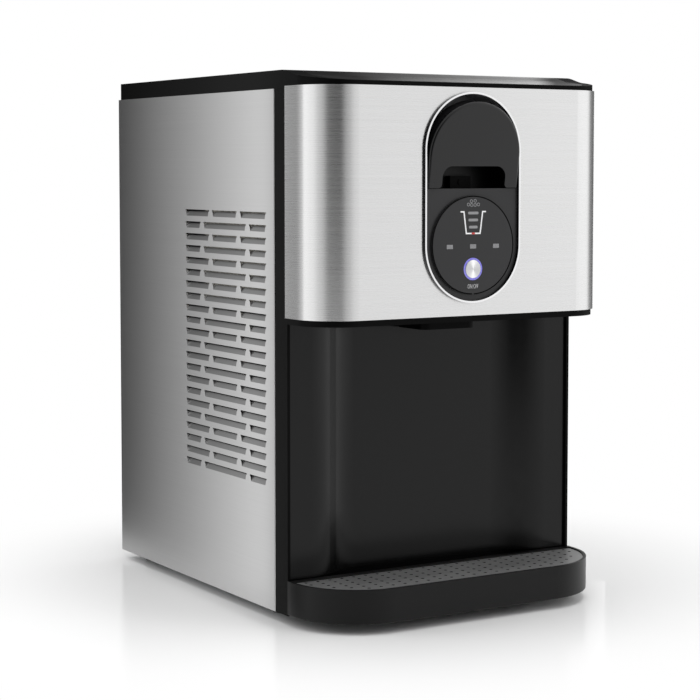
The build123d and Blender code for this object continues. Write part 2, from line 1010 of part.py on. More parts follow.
with BuildPart() as flap_switch:
    block(
        (-switch_width / 2, switch_width / 2),
        (housing_floor_y - switch_depth, housing_floor_y),
        (shelf_top, shelf_top + switch_height),
    )
    rod(
        "y",
        (0, housing_floor_y - switch_depth - seat_gap, shelf_top + switch_height / 2),
        button_stem_radius,
        2 * seat_gap,
    )
flap_switch.part.label = "flap_switch"
export_step(flap_switch.part, "parts/flap_switch.step")

# Control panel

lamp_places = [
    ((index - (lamp_count - 1) / 2) * lamp_spacing, lamp_centre) for index in range(lamp_count)
]
control_face_y = head_front_y - control_proud
panel_back_y = head_front_y + panel_plate
light_ring_back_y = head_front_y + light_ring_depth
board_back_y = housing_floor_y - board_standoff
board_front_y = board_back_y - board_thickness
light_ring_radius = light_ring_diameter / 2
button_radius = button_diameter / 2
light_ring_flange = light_ring_radius + light_ring_depth - panel_plate

with BuildPart() as control_panel:
    with BuildSketch(Plane.XZ.offset(-panel_back_y)):
        with Locations((0, pill_centre)):
            SlotOverall(pill_height - 2 * panel_gap, pill_width - 2 * panel_gap, rotation=90)
        with Locations((0, shelf_top)):
            Rectangle(ring_width, ring_height, align=(Align.CENTER, Align.MIN), mode=Mode.SUBTRACT)
        with Locations((0, button_centre)):
            Circle(light_ring_radius + panel_gap, mode=Mode.SUBTRACT)
        with Locations(*lamp_places):
            Rectangle(lamp_width + 2 * panel_gap, lamp_height + 2 * panel_gap, mode=Mode.SUBTRACT)
    extrude(amount=panel_plate)
    with BuildSketch(Plane.XZ.offset(-head_front_y)):
        with Locations((0, pill_centre - disc_drop)):
            Circle(disc_diameter / 2)
        with Locations((0, button_centre)):
            Circle(light_ring_radius + panel_gap, mode=Mode.SUBTRACT)
        with Locations(*lamp_places):
            Rectangle(lamp_width + 2 * panel_gap, lamp_height + 2 * panel_gap, mode=Mode.SUBTRACT)
    extrude(amount=control_proud)
control_panel.part.label = "control_panel"
export_step(control_panel.part, "parts/control_panel.step")

with BuildPart() as lamp_windows:
    with BuildSketch(Plane.XZ.offset(-board_front_y)):
        with Locations(*lamp_places):
            Rectangle(lamp_width, lamp_height)
    extrude(amount=board_front_y - control_face_y)
lamp_windows.part.label = "lamp_windows"
export_step(lamp_windows.part, "parts/lamp_windows.step")

with BuildPart() as button_light_ring:
    with BuildSketch(Plane.XZ.offset(-light_ring_back_y)):
        with Locations((0, button_centre)):
            Circle(light_ring_flange)
            Circle(button_radius + button_gap, mode=Mode.SUBTRACT)
    extrude(amount=light_ring_depth - panel_plate)
    with BuildSketch(Plane.XZ.offset(-panel_back_y)):
        with Locations((0, button_centre)):
            Circle(light_ring_radius)
            Circle(button_radius + button_gap, mode=Mode.SUBTRACT)
    extrude(amount=panel_plate + control_proud)
button_light_ring.part.label = "button_light_ring"
export_step(button_light_ring.part, "parts/button_light_ring.step")

tact_front_y = board_front_y - tact_height
stem_end_y = tact_front_y - button_travel - panel_gap
button_flange_back_y = light_ring_back_y + button_flange
with BuildPart() as power_button:
    rod(
        "y",
        (0, (control_face_y - button_dome + light_ring_back_y) / 2, button_centre),
        button_radius,
        light_ring_back_y - control_face_y + button_dome,
    )
    fillet(power_button.faces().sort_by(Axis.Y)[0].edges(), button_dome)
    rod(
        "y",
        (0, light_ring_back_y + button_flange / 2, button_centre),
        light_ring_radius,
        button_flange,
    )
    rod(
        "y",
        (0, (button_flange_back_y + stem_end_y) / 2, button_centre),
        button_stem_radius,
        stem_end_y - button_flange_back_y,
    )
power_button.part.label = "power_button"
export_step(power_button.part, "parts/power_button.step")

button_spring_radius = tact_size / math.sqrt(2) + button_spring_wire
button_spring_length = board_front_y - button_flange_back_y - button_spring_wire
with BuildPart() as button_spring:
    with BuildLine() as coil:
        Helix(
            button_spring_length / button_spring_turns,
            button_spring_length,
            button_spring_radius,
            center=(0, button_flange_back_y + button_spring_wire / 2, button_centre),
            direction=(0, 1, 0),
        )
    with BuildSketch(Plane(origin=coil.line @ 0, z_dir=coil.line % 0)):
        Circle(button_spring_wire / 2)
    sweep(path=coil.line)
button_spring.part.label = "button_spring"
export_step(button_spring.part, "parts/button_spring.step")

with BuildPart() as control_board:
    board_low = board_z - board_margin
    block(
        (-board_width / 2, board_width / 2),
        (board_front_y, board_back_y),
        (board_low, board_low + board_height),
    )
    block(
        (-tact_size / 2, tact_size / 2),
        (tact_front_y, board_front_y),
        (button_centre - tact_size / 2, button_centre + tact_size / 2),
    )
control_board.part.label = "control_board"
export_step(control_board.part, "parts/control_board.step")

# Chute and its gate

bin_front_y = front_y + bin_front
gate_pin_y = chute_front_y + chute_wall + gate_gap + gate_barrel_radius
gate_pin_z = chute_elbow + gate_pin_above
chute_inner = chute_half - chute_wall
with BuildPart() as chute:
    outer = [
        (chute_front_y, chute_bottom_z),
        (chute_front_y, chute_top - chute_roof_slope),
        (chute_front_y + chute_roof_slope, chute_top),
        (bin_front_y, chute_top),
        (bin_front_y, chute_mouth_bottom),
        (chute_back_y, chute_elbow),
        (chute_back_y, chute_bottom_z),
    ]
    add(prism(Plane.YZ.offset(-chute_half), outer, chute_width))
    front_edges = chute.edges().filter_by(Axis.Z).group_by(Axis.Y)[0]
    fillet(front_edges, chute_corner)
    inner = [
        (chute_front_y + chute_wall, chute_bottom_z - overrun),
        (chute_front_y + chute_wall, chute_top - chute_roof_slope),
        (chute_front_y + chute_roof_slope, chute_top - chute_wall),
        (bin_front_y + overrun, chute_top - chute_wall),
        (bin_front_y + overrun, chute_mouth_bottom + chute_wall),
        (bin_front_y, chute_mouth_bottom + chute_wall),
        (chute_back_y - chute_wall, chute_elbow + chute_wall),
        (chute_back_y - chute_wall, chute_bottom_z - overrun),
    ]
    passage = prism(Plane.YZ.offset(-chute_inner), inner, 2 * chute_inner)
    passage_edges = passage.edges().filter_by(Axis.Z).group_by(Axis.Y)[0]
    add(passage.fillet(chute_corner - chute_wall, passage_edges), mode=Mode.SUBTRACT)
    block(
        (-chute_half - chute_flange, chute_half + chute_flange),
        (chute_back_y - chute_front / 2, chute_back_y),
        (head_floor_z - chute_flange_thickness, head_floor_z),
    )
    block(
        (-chute_inner, chute_inner),
        (chute_back_y - chute_front / 2, chute_back_y - chute_wall),
        (chute_bottom_z, head_floor_z),
        mode=Mode.SUBTRACT,
    )
    rod("x", (0, gate_pin_y, gate_pin_z), gate_pin_radius, chute_width + overrun, mode=Mode.SUBTRACT)
chute.part.label = "chute"
export_step(chute.part, "parts/chute.step")

gate_half = chute_inner - gate_side_gap
barrel_half = chute_half - chute_corner - gate_gap
gate_end_y = chute_back_y - chute_wall - gate_gap
with BuildPart() as chute_gate:
    rod("x", (0, gate_pin_y, gate_pin_z), gate_barrel_radius, 2 * barrel_half)
    block(
        (-gate_half, gate_half),
        (gate_pin_y, gate_end_y),
        (gate_pin_z - gate_thickness / 2, gate_pin_z + gate_thickness / 2),
    )
    rod(
        "x",
        (0, gate_pin_y, gate_pin_z),
        gate_pin_radius + pin_clearance,
        2 * gate_half + overrun,
        mode=Mode.SUBTRACT,
    )
chute_gate.part.label = "chute_gate"
export_step(chute_gate.part, "parts/chute_gate.step")

with BuildPart() as gate_pin:
    rod("x", (0, gate_pin_y, gate_pin_z), gate_pin_radius, chute_width)
gate_pin.part.label = "gate_pin"
export_step(gate_pin.part, "parts/gate_pin.step")

# Drip tray and grid

tray_front_y = front_y - tray_reach
tray_back_y = frame_front_y - tray_back_gap
tray_half = half_width
grid_top = tray_rim - grid_below_rim
grid_bottom = grid_top - grid_sheet
tray_inner_half = tray_half - tray_wall
tray_inner_front = tray_front_y + tray_wall
tray_inner_corner = tray_corner - tray_wall
grid_back_y = front_y - grid_back

with BuildPart() as drip_tray:
    extrude(
        round_front(tray_half, tray_front_y, tray_back_y, tray_corner, tray_bottom),
        amount=tray_rim - tray_bottom,
    )
    fillet(drip_tray.edges().group_by(Axis.Z)[0], tray_edge_radius)
    upper = round_front(tray_inner_half, tray_inner_front, grid_back_y, tray_inner_corner, grid_bottom)
    extrude(upper, amount=tray_rim - grid_bottom, mode=Mode.SUBTRACT)
    pan = round_front(
        tray_inner_half - grid_ledge,
        tray_inner_front + grid_ledge,
        grid_back_y - grid_ledge,
        tray_inner_corner - grid_ledge,
        tray_bottom + tray_floor,
    )
    extrude(pan, amount=tray_rim, mode=Mode.SUBTRACT)
    for side in (-1, 1):
        tongue = side * base_tongue_spacing / 2
        block(
            (
                tongue - base_tongue_width / 2 - tongue_clearance,
                tongue + base_tongue_width / 2 + tongue_clearance,
            ),
            (front_y - base_tongue_reach - tongue_clearance, tray_back_y + overrun),
            (tray_bottom - overrun, base_top),
            mode=Mode.SUBTRACT,
        )
drip_tray.part.label = "drip_tray"
export_step(drip_tray.part, "parts/drip_tray.step")

grid_half = tray_inner_half - grid_gap
grid_front_y = tray_inner_front + grid_gap
grid_rear_y = grid_back_y - grid_gap
grid_corner = tray_inner_corner - grid_gap
corner_x = grid_half - grid_corner
corner_y = grid_front_y + grid_corner
hole_first_y = grid_rear_y - (grid_rear_y - grid_front_y - (hole_rows - 1) * hole_pitch_y) / 2


def hole_fits(x, y):
    """Say whether a hole lies wholly on the grid, clear of its rounded corners."""
    beyond_x = max(abs(x) - corner_x, 0)
    beyond_y = max(corner_y - y, 0)
    return math.hypot(beyond_x, beyond_y) < grid_corner - hole_edge


hole_places = [
    ((column - (hole_columns - 1) / 2) * hole_pitch_x, hole_first_y - row * hole_pitch_y)
    for column in range(hole_columns)
    for row in range(hole_rows)
]
hole_places = [place for place in hole_places if hole_fits(*place)]

with BuildPart() as drip_grid:
    plate = round_front(grid_half, grid_front_y, grid_rear_y, grid_corner, grid_bottom)
    extrude(plate, amount=grid_sheet)
    with BuildSketch(Plane.XY.offset(grid_bottom)):
        with Locations(*hole_places):
            Circle(hole_diameter / 2)
    extrude(amount=grid_sheet, mode=Mode.SUBTRACT)
drip_grid.part.label = "drip_grid"
export_step(drip_grid.part, "parts/drip_grid.step")

# Top frame and lid

rail_inner = half_width - rail_width
opening_half = rail_inner - lid_ledge
opening_front = front_y + liner_front
opening_rear = rear_outer_y - rear_bar_inner
nose_front = cap_front_y + nose_band
hinge_y = rear_outer_y - hinge_back
hinge_z = top_z - hinge_drop
lid_half = rail_inner - lid_gap
lid_rear = rear_outer_y - skirt_inset
lid_bottom = top_z - lid_thickness


def under_top(drop, low):
    """Return a solid under the sloped top surface, lowered by a drop."""
    crest = (front_y - slope_start, top_z - drop)
    knee = (front_y - slope_knee, top_z - slope_knee_drop - drop)
    with BuildPart(mode=Mode.PRIVATE) as solid:
        with BuildSketch(Plane.YZ.offset(-half_width)) as profile:
            with BuildLine():
                Polyline(
                    (cap_front_y, low),
                    (cap_front_y, head_top + cap_edge_height - drop),
                    knee,
                    crest,
                    (rear_outer_y, top_z - drop),
                    (rear_outer_y, low),
                    close=True,
                )
            make_face()
            fillet(profile.vertices().sort_by_distance(crest)[0], slope_crest_radius)
            fillet(profile.vertices().sort_by_distance(knee)[0], slope_knee_radius)
        extrude(amount=body_width)
    return solid.part


with BuildPart(mode=Mode.PRIVATE) as lid_pocket:
    extrude(
        round_front(rail_inner, nose_front, rear_outer_y + overrun, nose_corner, head_top),
        amount=top_z - head_top + overrun,
    )
    add(under_top(lid_thickness, head_top - overrun), mode=Mode.SUBTRACT)

with BuildPart() as top_frame:
    block((-half_width, half_width), (frame_front_y, rear_outer_y), (panel_top, top_z))
    extrude(
        round_front(half_width, cap_front_y, frame_front_y, cap_corner, head_top),
        amount=top_z - head_top,
    )
    add(under_top(0, panel_top), mode=Mode.INTERSECT)
    add(lid_pocket.part, mode=Mode.SUBTRACT)
    block(
        (-opening_half, opening_half),
        (opening_front, opening_rear),
        (panel_top - overrun, top_z + overrun),
        mode=Mode.SUBTRACT,
    )
    block(
        (-rail_inner, rail_inner),
        (rear_outer_y - rear_bar_step, rear_outer_y + overrun),
        (panel_top + rear_sill, top_z + overrun),
        mode=Mode.SUBTRACT,
    )
    for side in (-1, 1):
        groove = sorted((side * (opening_half + top_frame_wall), side * (half_width - top_frame_wall)))
        block(
            groove,
            (front_y, rear_outer_y - rear_bar_step - top_frame_wall),
            (panel_top, lid_bottom - top_frame_wall),
            mode=Mode.SUBTRACT,
        )
        rod(
            "x",
            (side * (rail_inner + hinge_pin_hold - hinge_pin_length / 2), hinge_y, hinge_z),
            hinge_pin_radius,
            hinge_pin_length,
            mode=Mode.SUBTRACT,
        )
top_frame.part.label = "top_frame"
export_step(top_frame.part, "parts/top_frame.step")

with BuildPart() as lid:
    extrude(
        round_front(lid_half, nose_front + lid_gap, lid_rear, nose_corner - lid_gap, head_top),
        amount=top_z - head_top,
    )
    add(under_top(0, head_top - overrun), mode=Mode.INTERSECT)
    add(under_top(lid_thickness, head_top - 2 * overrun), mode=Mode.SUBTRACT)
    block(
        (-lid_half, lid_half),
        (lid_rear - skirt_thickness, lid_rear),
        (top_z - skirt_height, lid_bottom),
    )
    for side in (-1, 1):
        rod(
            "x",
            (side * (lid_half - hinge_barrel_length / 2), hinge_y, hinge_z),
            hinge_barrel_radius,
            hinge_barrel_length,
        )
        rod(
            "x",
            (side * (lid_half - hinge_barrel_length / 2), hinge_y, hinge_z),
            hinge_pin_radius + pin_clearance,
            hinge_barrel_length + overrun,
            mode=Mode.SUBTRACT,
        )
lid.part.label = "lid"
export_step(lid.part, "parts/lid.step")

with BuildPart() as lid_hinge_pins:
    for side in (-1, 1):
        rod(
            "x",
            (side * (rail_inner + hinge_pin_hold - hinge_pin_length / 2), hinge_y, hinge_z),
            hinge_pin_radius,
            hinge_pin_length,
        )
lid_hinge_pins.part.label = "lid_hinge_pins"
export_step(lid_hinge_pins.part, "parts/lid_hinge_pins.step")

liner_half = opening_half - liner_gap
liner_y = (opening_front + liner_gap, opening_rear - liner_gap)
with BuildPart() as lid_liner:
    block((-liner_half, liner_half), liner_y, (lid_bottom - liner_height, lid_bottom))
    block(
        (liner_wall - liner_half, liner_half - liner_wall),
        (liner_y[0] + liner_wall, liner_y[1] - liner_wall),
        (lid_bottom - liner_height + liner_wall, lid_bottom),
        mode=Mode.SUBTRACT,
    )
lid_liner.part.label = "lid_liner"
export_step(lid_liner.part, "parts/lid_liner.step")

gasket_reach = liner_gap - seat_gap
with BuildPart() as lid_gasket:
    block(
        (-liner_half - gasket_reach, liner_half + gasket_reach),
        (liner_y[0] - gasket_reach, liner_y[1] + gasket_reach),
        (lid_bottom - gasket_height, lid_bottom),
    )
    block(
        (-liner_half, liner_half),
        liner_y,
        (lid_bottom - gasket_height, lid_bottom),
        mode=Mode.SUBTRACT,
    )
lid_gasket.part.label = "lid_gasket"
export_step(lid_gasket.part, "parts/lid_gasket.step")

# Deck, ice bin and auger

bin_rear_y = front_y + bin_rear
maker_y = front_y + maker_axis_y
pump_at = front_y + pump_y
drain_at = front_y + drain_y
deck_half = panel_inner - panel_front_flange - seat_gap
cheek_half = cheek_spacing / 2
bar_y = maker_y + cheek_depth / 2 - cross_bar / 2

with BuildPart() as deck:
    block((-deck_half, deck_half), (front_y, rear_inner_y), (deck_z, deck_top))
    with BuildSketch(Plane.XY.offset(deck_z)):
        with Locations((-pipe_x, maker_y)):
            Rectangle(deck_pipe_hole, deck_pipe_hole)
        with Locations((hose_x, bar_y)):
            Circle(hose_radius + deck_hose_gap)
        with Locations((pump_x, pump_at)):
            Circle(nipple_radius + deck_hose_gap)
        with Locations((drain_x, drain_at)):
            Circle(drain_radius + deck_hose_gap)
    extrude(amount=deck_sheet, mode=Mode.SUBTRACT)
deck.part.label = "deck"
export_step(deck.part, "parts/deck.step")


def bin_section(inset, top, y):
    """Return the ice bin's upright section, with its round trough, drawn in by an inset."""
    with BuildSketch(Plane.XZ.offset(-y)) as section:
        with BuildLine():
            low = trough_radius + bin_wall
            Polyline(
                (-low, auger_centre_z),
                (-bin_half_width, bin_shoulder),
                (-bin_half_width, top),
                (bin_half_width, top),
                (bin_half_width, bin_shoulder),
                (low, auger_centre_z),
            )
            ThreePointArc(
                (low, auger_centre_z),
                (0, auger_centre_z - low),
                (-low, auger_centre_z),
            )
        make_face()
        if inset > 0:
            offset(amount=-inset, mode=Mode.REPLACE)
    return section.sketch


with BuildPart() as ice_bin:
    extrude(bin_section(0, bin_top + bin_wall, bin_rear_y), amount=bin_rear_y - bin_front_y)
    extrude(
        bin_section(bin_wall, bin_top + 2 * bin_wall, bin_rear_y - bin_wall),
        amount=bin_rear_y - bin_front_y - 2 * bin_wall,
        mode=Mode.SUBTRACT,
    )
    block(
        (-bin_half_width, bin_half_width),
        (bin_front_y, bin_rear_y),
        (bin_top, bin_top + 2 * bin_wall),
        mode=Mode.SUBTRACT,
    )
    block(
        (-outlet_width / 2, outlet_width / 2),
        (bin_front_y, bin_front_y + bin_wall),
        (outlet_bottom, outlet_top),
        mode=Mode.SUBTRACT,
    )
    block(
        (-cheek_half, cheek_half),
        (bin_rear_y - bin_wall, bin_rear_y),
        (bin_rear_top, bin_top),
        mode=Mode.SUBTRACT,
    )
    rod("y", (0, bin_rear_y - bin_wall / 2, auger_centre_z), bush_radius, bin_wall, mode=Mode.SUBTRACT)
ice_bin.part.label = "ice_bin"
export_step(ice_bin.part, "parts/ice_bin.step")

with BuildPart() as bin_insulation:
    block(
        (-bin_half_width - foam_wall, bin_half_width + foam_wall),
        (bin_front_y, bin_rear_y),
        (deck_top, bin_top - foam_top_drop),
    )
    extrude(
        bin_section(0, bin_top, bin_rear_y),
        amount=bin_rear_y - bin_front_y,
        mode=Mode.SUBTRACT,
    )
bin_insulation.part.label = "bin_insulation"
export_step(bin_insulation.part, "parts/bin_insulation.step")

auger_front_y = bin_front_y + bin_wall + auger_front_gap
auger_rear_y = bin_rear_y - bin_wall - auger_front_gap
gearbox_y = bin_rear_y + bush_reach + motor_gap
coil_reach = auger_radius - auger_wire
coil_run = auger_rear_y - auger_front_y - 2 * auger_wire
with BuildPart() as auger:
    rod(
        "y",
        (0, (auger_front_y + gearbox_y) / 2, auger_centre_z),
        auger_shaft_radius,
        gearbox_y - auger_front_y,
    )
    with BuildLine() as coil:
        Helix(
            auger_pitch,
            coil_run,
            coil_reach,
            center=(0, auger_front_y + auger_wire, auger_centre_z),
            direction=(0, 1, 0),
        )
    with BuildSketch(Plane(origin=coil.line @ 0, z_dir=coil.line % 0)):
        Circle(auger_wire)
    sweep(path=coil.line)
    for end in (0, 1):
        tip = coil.line @ end
        hub = Vector(0, tip.Y, auger_centre_z)
        with BuildSketch(Plane(origin=hub, z_dir=tip - hub)):
            Circle(auger_wire)
        extrude(amount=coil_reach)
auger.part.label = "auger"
export_step(auger.part, "parts/auger.step")

with BuildPart() as auger_bush:
    bush_y = bin_rear_y - bin_wall / 2
    rod("y", (0, bush_y, auger_centre_z), bush_radius, bin_wall + 2 * bush_reach)
    rod(
        "y",
        (0, bush_y, auger_centre_z),
        auger_shaft_radius + pin_clearance,
        bin_wall + 2 * bush_reach,
        mode=Mode.SUBTRACT,
    )
auger_bush.part.label = "auger_bush"
export_step(auger_bush.part, "parts/auger_bush.step")

with BuildPart() as auger_motor:
    rod("y", (0, gearbox_y + motor_gearbox / 2, auger_centre_z), motor_radius, motor_gearbox)
    can_y = gearbox_y + motor_gearbox
    rod("y", (0, can_y + motor_can / 2, auger_centre_z), motor_can_radius, motor_can)
    block(
        (-motor_foot / 2, motor_foot / 2),
        (gearbox_y, gearbox_y + motor_gearbox),
        (deck_top, auger_centre_z),
    )
auger_motor.part.label = "auger_motor"
export_step(auger_motor.part, "parts/auger_motor.step")

with BuildPart() as ice_level_sensor:
    block(
        (bin_wall - bin_half_width, bin_wall + sensor_size - bin_half_width),
        ((bin_front_y + bin_rear_y - sensor_size) / 2, (bin_front_y + bin_rear_y + sensor_size) / 2),
        (bin_top - sensor_drop - sensor_length, bin_top - sensor_drop),
    )
ice_level_sensor.part.label = "ice_level_sensor"
export_step(ice_level_sensor.part, "parts/ice_level_sensor.step")

# Ice maker

trough_outer = trough_inner + trough_wall
evap_z = maker_axis_z + evap_above
tank_y = (front_y + tank_front, front_y + tank_rear)
axle_end = cheek_half + cheek_thickness + axle_reach

with BuildPart() as maker_frame:
    for side in (-1, 1):
        cheek = sorted((side * cheek_half, side * (cheek_half + cheek_thickness)))
        block(
            cheek,
            (maker_y - cheek_depth / 2, maker_y + cheek_depth / 2),
            (tank_top, cheek_top),
        )
        for y in (-finger_spacing_y / 2, finger_spacing_y / 2):
            rod(
                "x",
                (side * cheek_half, maker_y + y, evap_z + evap_height + coil_radius - coil_sink),
                coil_radius + seat_gap,
                4 * cheek_thickness,
                mode=Mode.SUBTRACT,
            )
    block(
        (-cheek_half, cheek_half),
        (maker_y + cheek_depth / 2 - cross_bar, maker_y + cheek_depth / 2),
        (cheek_top - cross_bar_height, cheek_top),
    )
    rod(
        "x",
        (0, maker_y, maker_axis_z),
        axle_radius + pin_clearance,
        2 * (cheek_half + 2 * cheek_thickness),
        mode=Mode.SUBTRACT,
    )
maker_frame.part.label = "maker_frame"
export_step(maker_frame.part, "parts/maker_frame.step")

coil_z = evap_z + evap_height + coil_radius - coil_sink
with BuildPart() as evaporator:
    block(
        (-cheek_half, cheek_half),
        (maker_y - evap_half_depth, maker_y + evap_half_depth),
        (evap_z, evap_z + evap_height),
    )
    with Locations((0, maker_y, evap_z - finger_length / 2)):
        with GridLocations(finger_spacing_x, finger_spacing_y, finger_columns, 2):
            Cylinder(finger_radius, finger_length)
    for side in (-1, 1):
        tube_length = cheek_half + cheek_thickness + finger_spacing_x * (finger_columns - 1) / 2
        rod(
            "x",
            (
                -cheek_half - cheek_thickness + tube_length / 2,
                maker_y + side * finger_spacing_y / 2,
                coil_z,
            ),
            coil_radius,
            tube_length,
        )
    rod(
        "y",
        (finger_spacing_x * (finger_columns - 1) / 2, maker_y, coil_z),
        coil_radius,
        finger_spacing_y + 2 * coil_radius,
    )
evaporator.part.label = "evaporator"
export_step(evaporator.part, "parts/evaporator.step")

tray_end = cheek_half - trough_side_gap
with BuildPart() as water_tray:
    rod("x", (0, maker_y, maker_axis_z), trough_outer, 2 * tray_end)
    rod("x", (0, maker_y, maker_axis_z), trough_inner, 2 * (tray_end - trough_wall), mode=Mode.SUBTRACT)
    block(
        (-tray_end, tray_end),
        (maker_y - trough_outer, maker_y + trough_outer),
        (maker_axis_z, maker_axis_z + trough_outer),
        mode=Mode.SUBTRACT,
    )
    for side in (-1, 1):
        rod(
            "x",
            (side * (tray_end - trough_wall / 2), maker_y, maker_axis_z),
            axle_boss,
            trough_wall,
        )
        rod(
            "x",
            (side * (tray_end - trough_wall + axle_end) / 2, maker_y, maker_axis_z),
            axle_radius,
            axle_end - tray_end + trough_wall,
        )
water_tray.part.label = "water_tray"
export_step(water_tray.part, "parts/water_tray.step")

with BuildPart() as tray_motor:
    rod(
        "x",
        (cheek_half + cheek_thickness + tray_motor_depth / 2, maker_y, maker_axis_z),
        tray_motor_radius,
        tray_motor_depth,
    )
    rod(
        "x",
        (cheek_half + cheek_thickness + axle_reach / 2, maker_y, maker_axis_z),
        axle_radius + pin_clearance,
        axle_reach + 2 * pin_clearance,
        mode=Mode.SUBTRACT,
    )
tray_motor.part.label = "tray_motor"
export_step(tray_motor.part, "parts/tray_motor.step")

slide_front_y = bin_rear_y - bin_wall
slide_rear_y = maker_y + cheek_depth / 2
with BuildPart() as ice_slide:
    outline = [
        (slide_front_y, bin_rear_top),
        (slide_front_y, bin_rear_top + slide_sheet),
        (slide_rear_y, bin_rear_top + slide_sheet + slide_drop),
        (slide_rear_y, bin_rear_top + slide_drop),
    ]
    add(prism(Plane.YZ.offset(-cheek_half), outline, cheek_spacing))
    with BuildSketch(Plane.XY.offset(bin_rear_top)):
        with Locations((0, (tank_y[0] + slide_rear_y) / 2)):
            with GridLocations(slide_slot_pitch, slide_slot_pitch, slide_slots, 1):
                SlotOverall(slide_rear_y - tank_y[0] - 2 * slide_border, slide_slot, rotation=90)
    extrude(amount=2 * slide_drop, mode=Mode.SUBTRACT)
ice_slide.part.label = "ice_slide"
export_step(ice_slide.part, "parts/ice_slide.step")

# Water


def tube(points, radius, bend):
    """Return a tube along straight runs joined by round bends."""
    with BuildPart(mode=Mode.PRIVATE) as run:
        with BuildLine() as route:
            FilletPolyline(*points, radius=bend)
        with BuildSketch(Plane(origin=route.line @ 0, z_dir=route.line % 0)):
            Circle(radius)
        sweep(path=route.line)
    return run.part


with BuildPart() as water_tank:
    block((-tank_half_width, tank_half_width), tank_y, (deck_top, tank_top))
    block(
        (tank_wall - tank_half_width, tank_half_width - tank_wall),
        (tank_y[0] + tank_wall, tank_y[1] - tank_wall),
        (deck_top + tank_wall, tank_top),
        mode=Mode.SUBTRACT,
    )
    rod("z", (pump_x, pump_at, deck_top - nipple_length / 2), nipple_radius, nipple_length)
    with Locations((pump_x, pump_at, deck_top), (drain_x, drain_at, deck_top)):
        Cylinder(nipple_radius / 2, 2 * nipple_length, mode=Mode.SUBTRACT)
water_tank.part.label = "water_tank"
export_step(water_tank.part, "parts/water_tank.step")

pump_top = base_top + pump_height
with BuildPart() as water_pump:
    rod("z", (pump_x, pump_at, base_top + pump_height / 2), pump_radius, pump_height)
    rod("z", (pump_x, pump_at, pump_top + pump_spout / 2), pump_spout_radius, pump_spout)
    rod(
        "x",
        (pump_x + (pump_radius + pump_spout) / 2, pump_at, base_top + pump_outlet_z),
        pump_spout_radius,
        pump_radius + pump_spout,
    )
water_pump.part.label = "water_pump"
export_step(water_pump.part, "parts/water_pump.step")

bar_z = cheek_top - cross_bar_height / 2
with BuildPart() as water_hoses:
    suction_low = pump_top + pump_spout
    suction_high = deck_top - nipple_length
    rod("z", (pump_x, pump_at, (suction_low + suction_high) / 2), hose_radius, suction_high - suction_low)
    delivery = [
        (pump_x + pump_radius + pump_spout, pump_at, base_top + pump_outlet_z),
        (hose_x, pump_at, base_top + pump_outlet_z),
        (hose_x, bar_y, base_top + pump_outlet_z + hose_rise),
        (hose_x, bar_y, bar_z),
        (cheek_half + cheek_thickness, bar_y, bar_z),
    ]
    add(tube(delivery, hose_radius, hose_bend))
water_hoses.part.label = "water_hoses"
export_step(water_hoses.part, "parts/water_hoses.step")

with BuildPart() as drain_pipe:
    drop = [
        (drain_x, drain_at, deck_top),
        (drain_x, drain_at, drain_z),
        (drain_x, rear_outer_y, drain_z),
    ]
    add(tube(drop, drain_radius, 2 * drain_radius))
    rod("y", (drain_x, rear_outer_y + drain_flange / 2, drain_z), drain_flange_radius, drain_flange)
    rod(
        "y",
        (drain_x, rear_outer_y + drain_flange - plug_length / 2, drain_z),
        drain_bore,
        plug_length,
        mode=Mode.SUBTRACT,
    )
drain_pipe.part.label = "drain_pipe"
export_step(drain_pipe.part, "parts/drain_pipe.step")

with BuildPart() as drain_plug:
    plug_y = rear_outer_y + drain_flange
    rod("y", (drain_x, plug_y + plug_head / 2, drain_z), plug_head_radius, plug_head)
    rod(
        "y",
        (drain_x, plug_y - (plug_length - overrun) / 2, drain_z),
        drain_bore - pin_clearance,
        plug_length - overrun,
    )
drain_plug.part.label = "drain_plug"
export_step(drain_plug.part, "parts/drain_plug.step")

# Cooling machinery

comp_x = -compressor_x
comp_y = front_y + compressor_y
foot_z = base_top + mount_height
can_z = foot_z + compressor_foot
compressor_height = suction_run_z - compressor_pipe_rise - can_z
foot_side = 2 * (mount_ring / math.sqrt(2) + compressor_foot_edge)
with BuildPart() as compressor:
    rod("z", (comp_x, comp_y, can_z + compressor_height / 2), compressor_radius, compressor_height)
    fillet(compressor.edges().group_by(Axis.Z)[-1], compressor_dome)
    with BuildSketch(Plane.XY.offset(foot_z)):
        with Locations((comp_x, comp_y)):
            RectangleRounded(foot_side, foot_side, compressor_foot_edge)
        with Locations(*compressor_places):
            Circle(bolt_radius + screw_clearance, mode=Mode.SUBTRACT)
    extrude(amount=compressor_foot)
compressor.part.label = "compressor"
export_step(compressor.part, "parts/compressor.step")

with BuildPart() as compressor_mounts:
    with Locations(*[(x, y, base_top + mount_height / 2) for x, y in compressor_places]):
        Cylinder(mount_radius, mount_height)
        Cylinder(bolt_radius + screw_clearance, mount_height, mode=Mode.SUBTRACT)
compressor_mounts.part.label = "compressor_mounts"
export_step(compressor_mounts.part, "parts/compressor_mounts.step")

with BuildPart() as compressor_bolts:
    bolt_length = can_z - panel_bottom
    with Locations(*[(x, y, panel_bottom + bolt_length / 2) for x, y in compressor_places]):
        Cylinder(bolt_radius, bolt_length)
    with Locations(*[(x, y, can_z + bolt_head / 2) for x, y in compressor_places]):
        Cylinder(bolt_head_radius, bolt_head)
compressor_bolts.part.label = "compressor_bolts"
export_step(compressor_bolts.part, "parts/compressor_bolts.step")

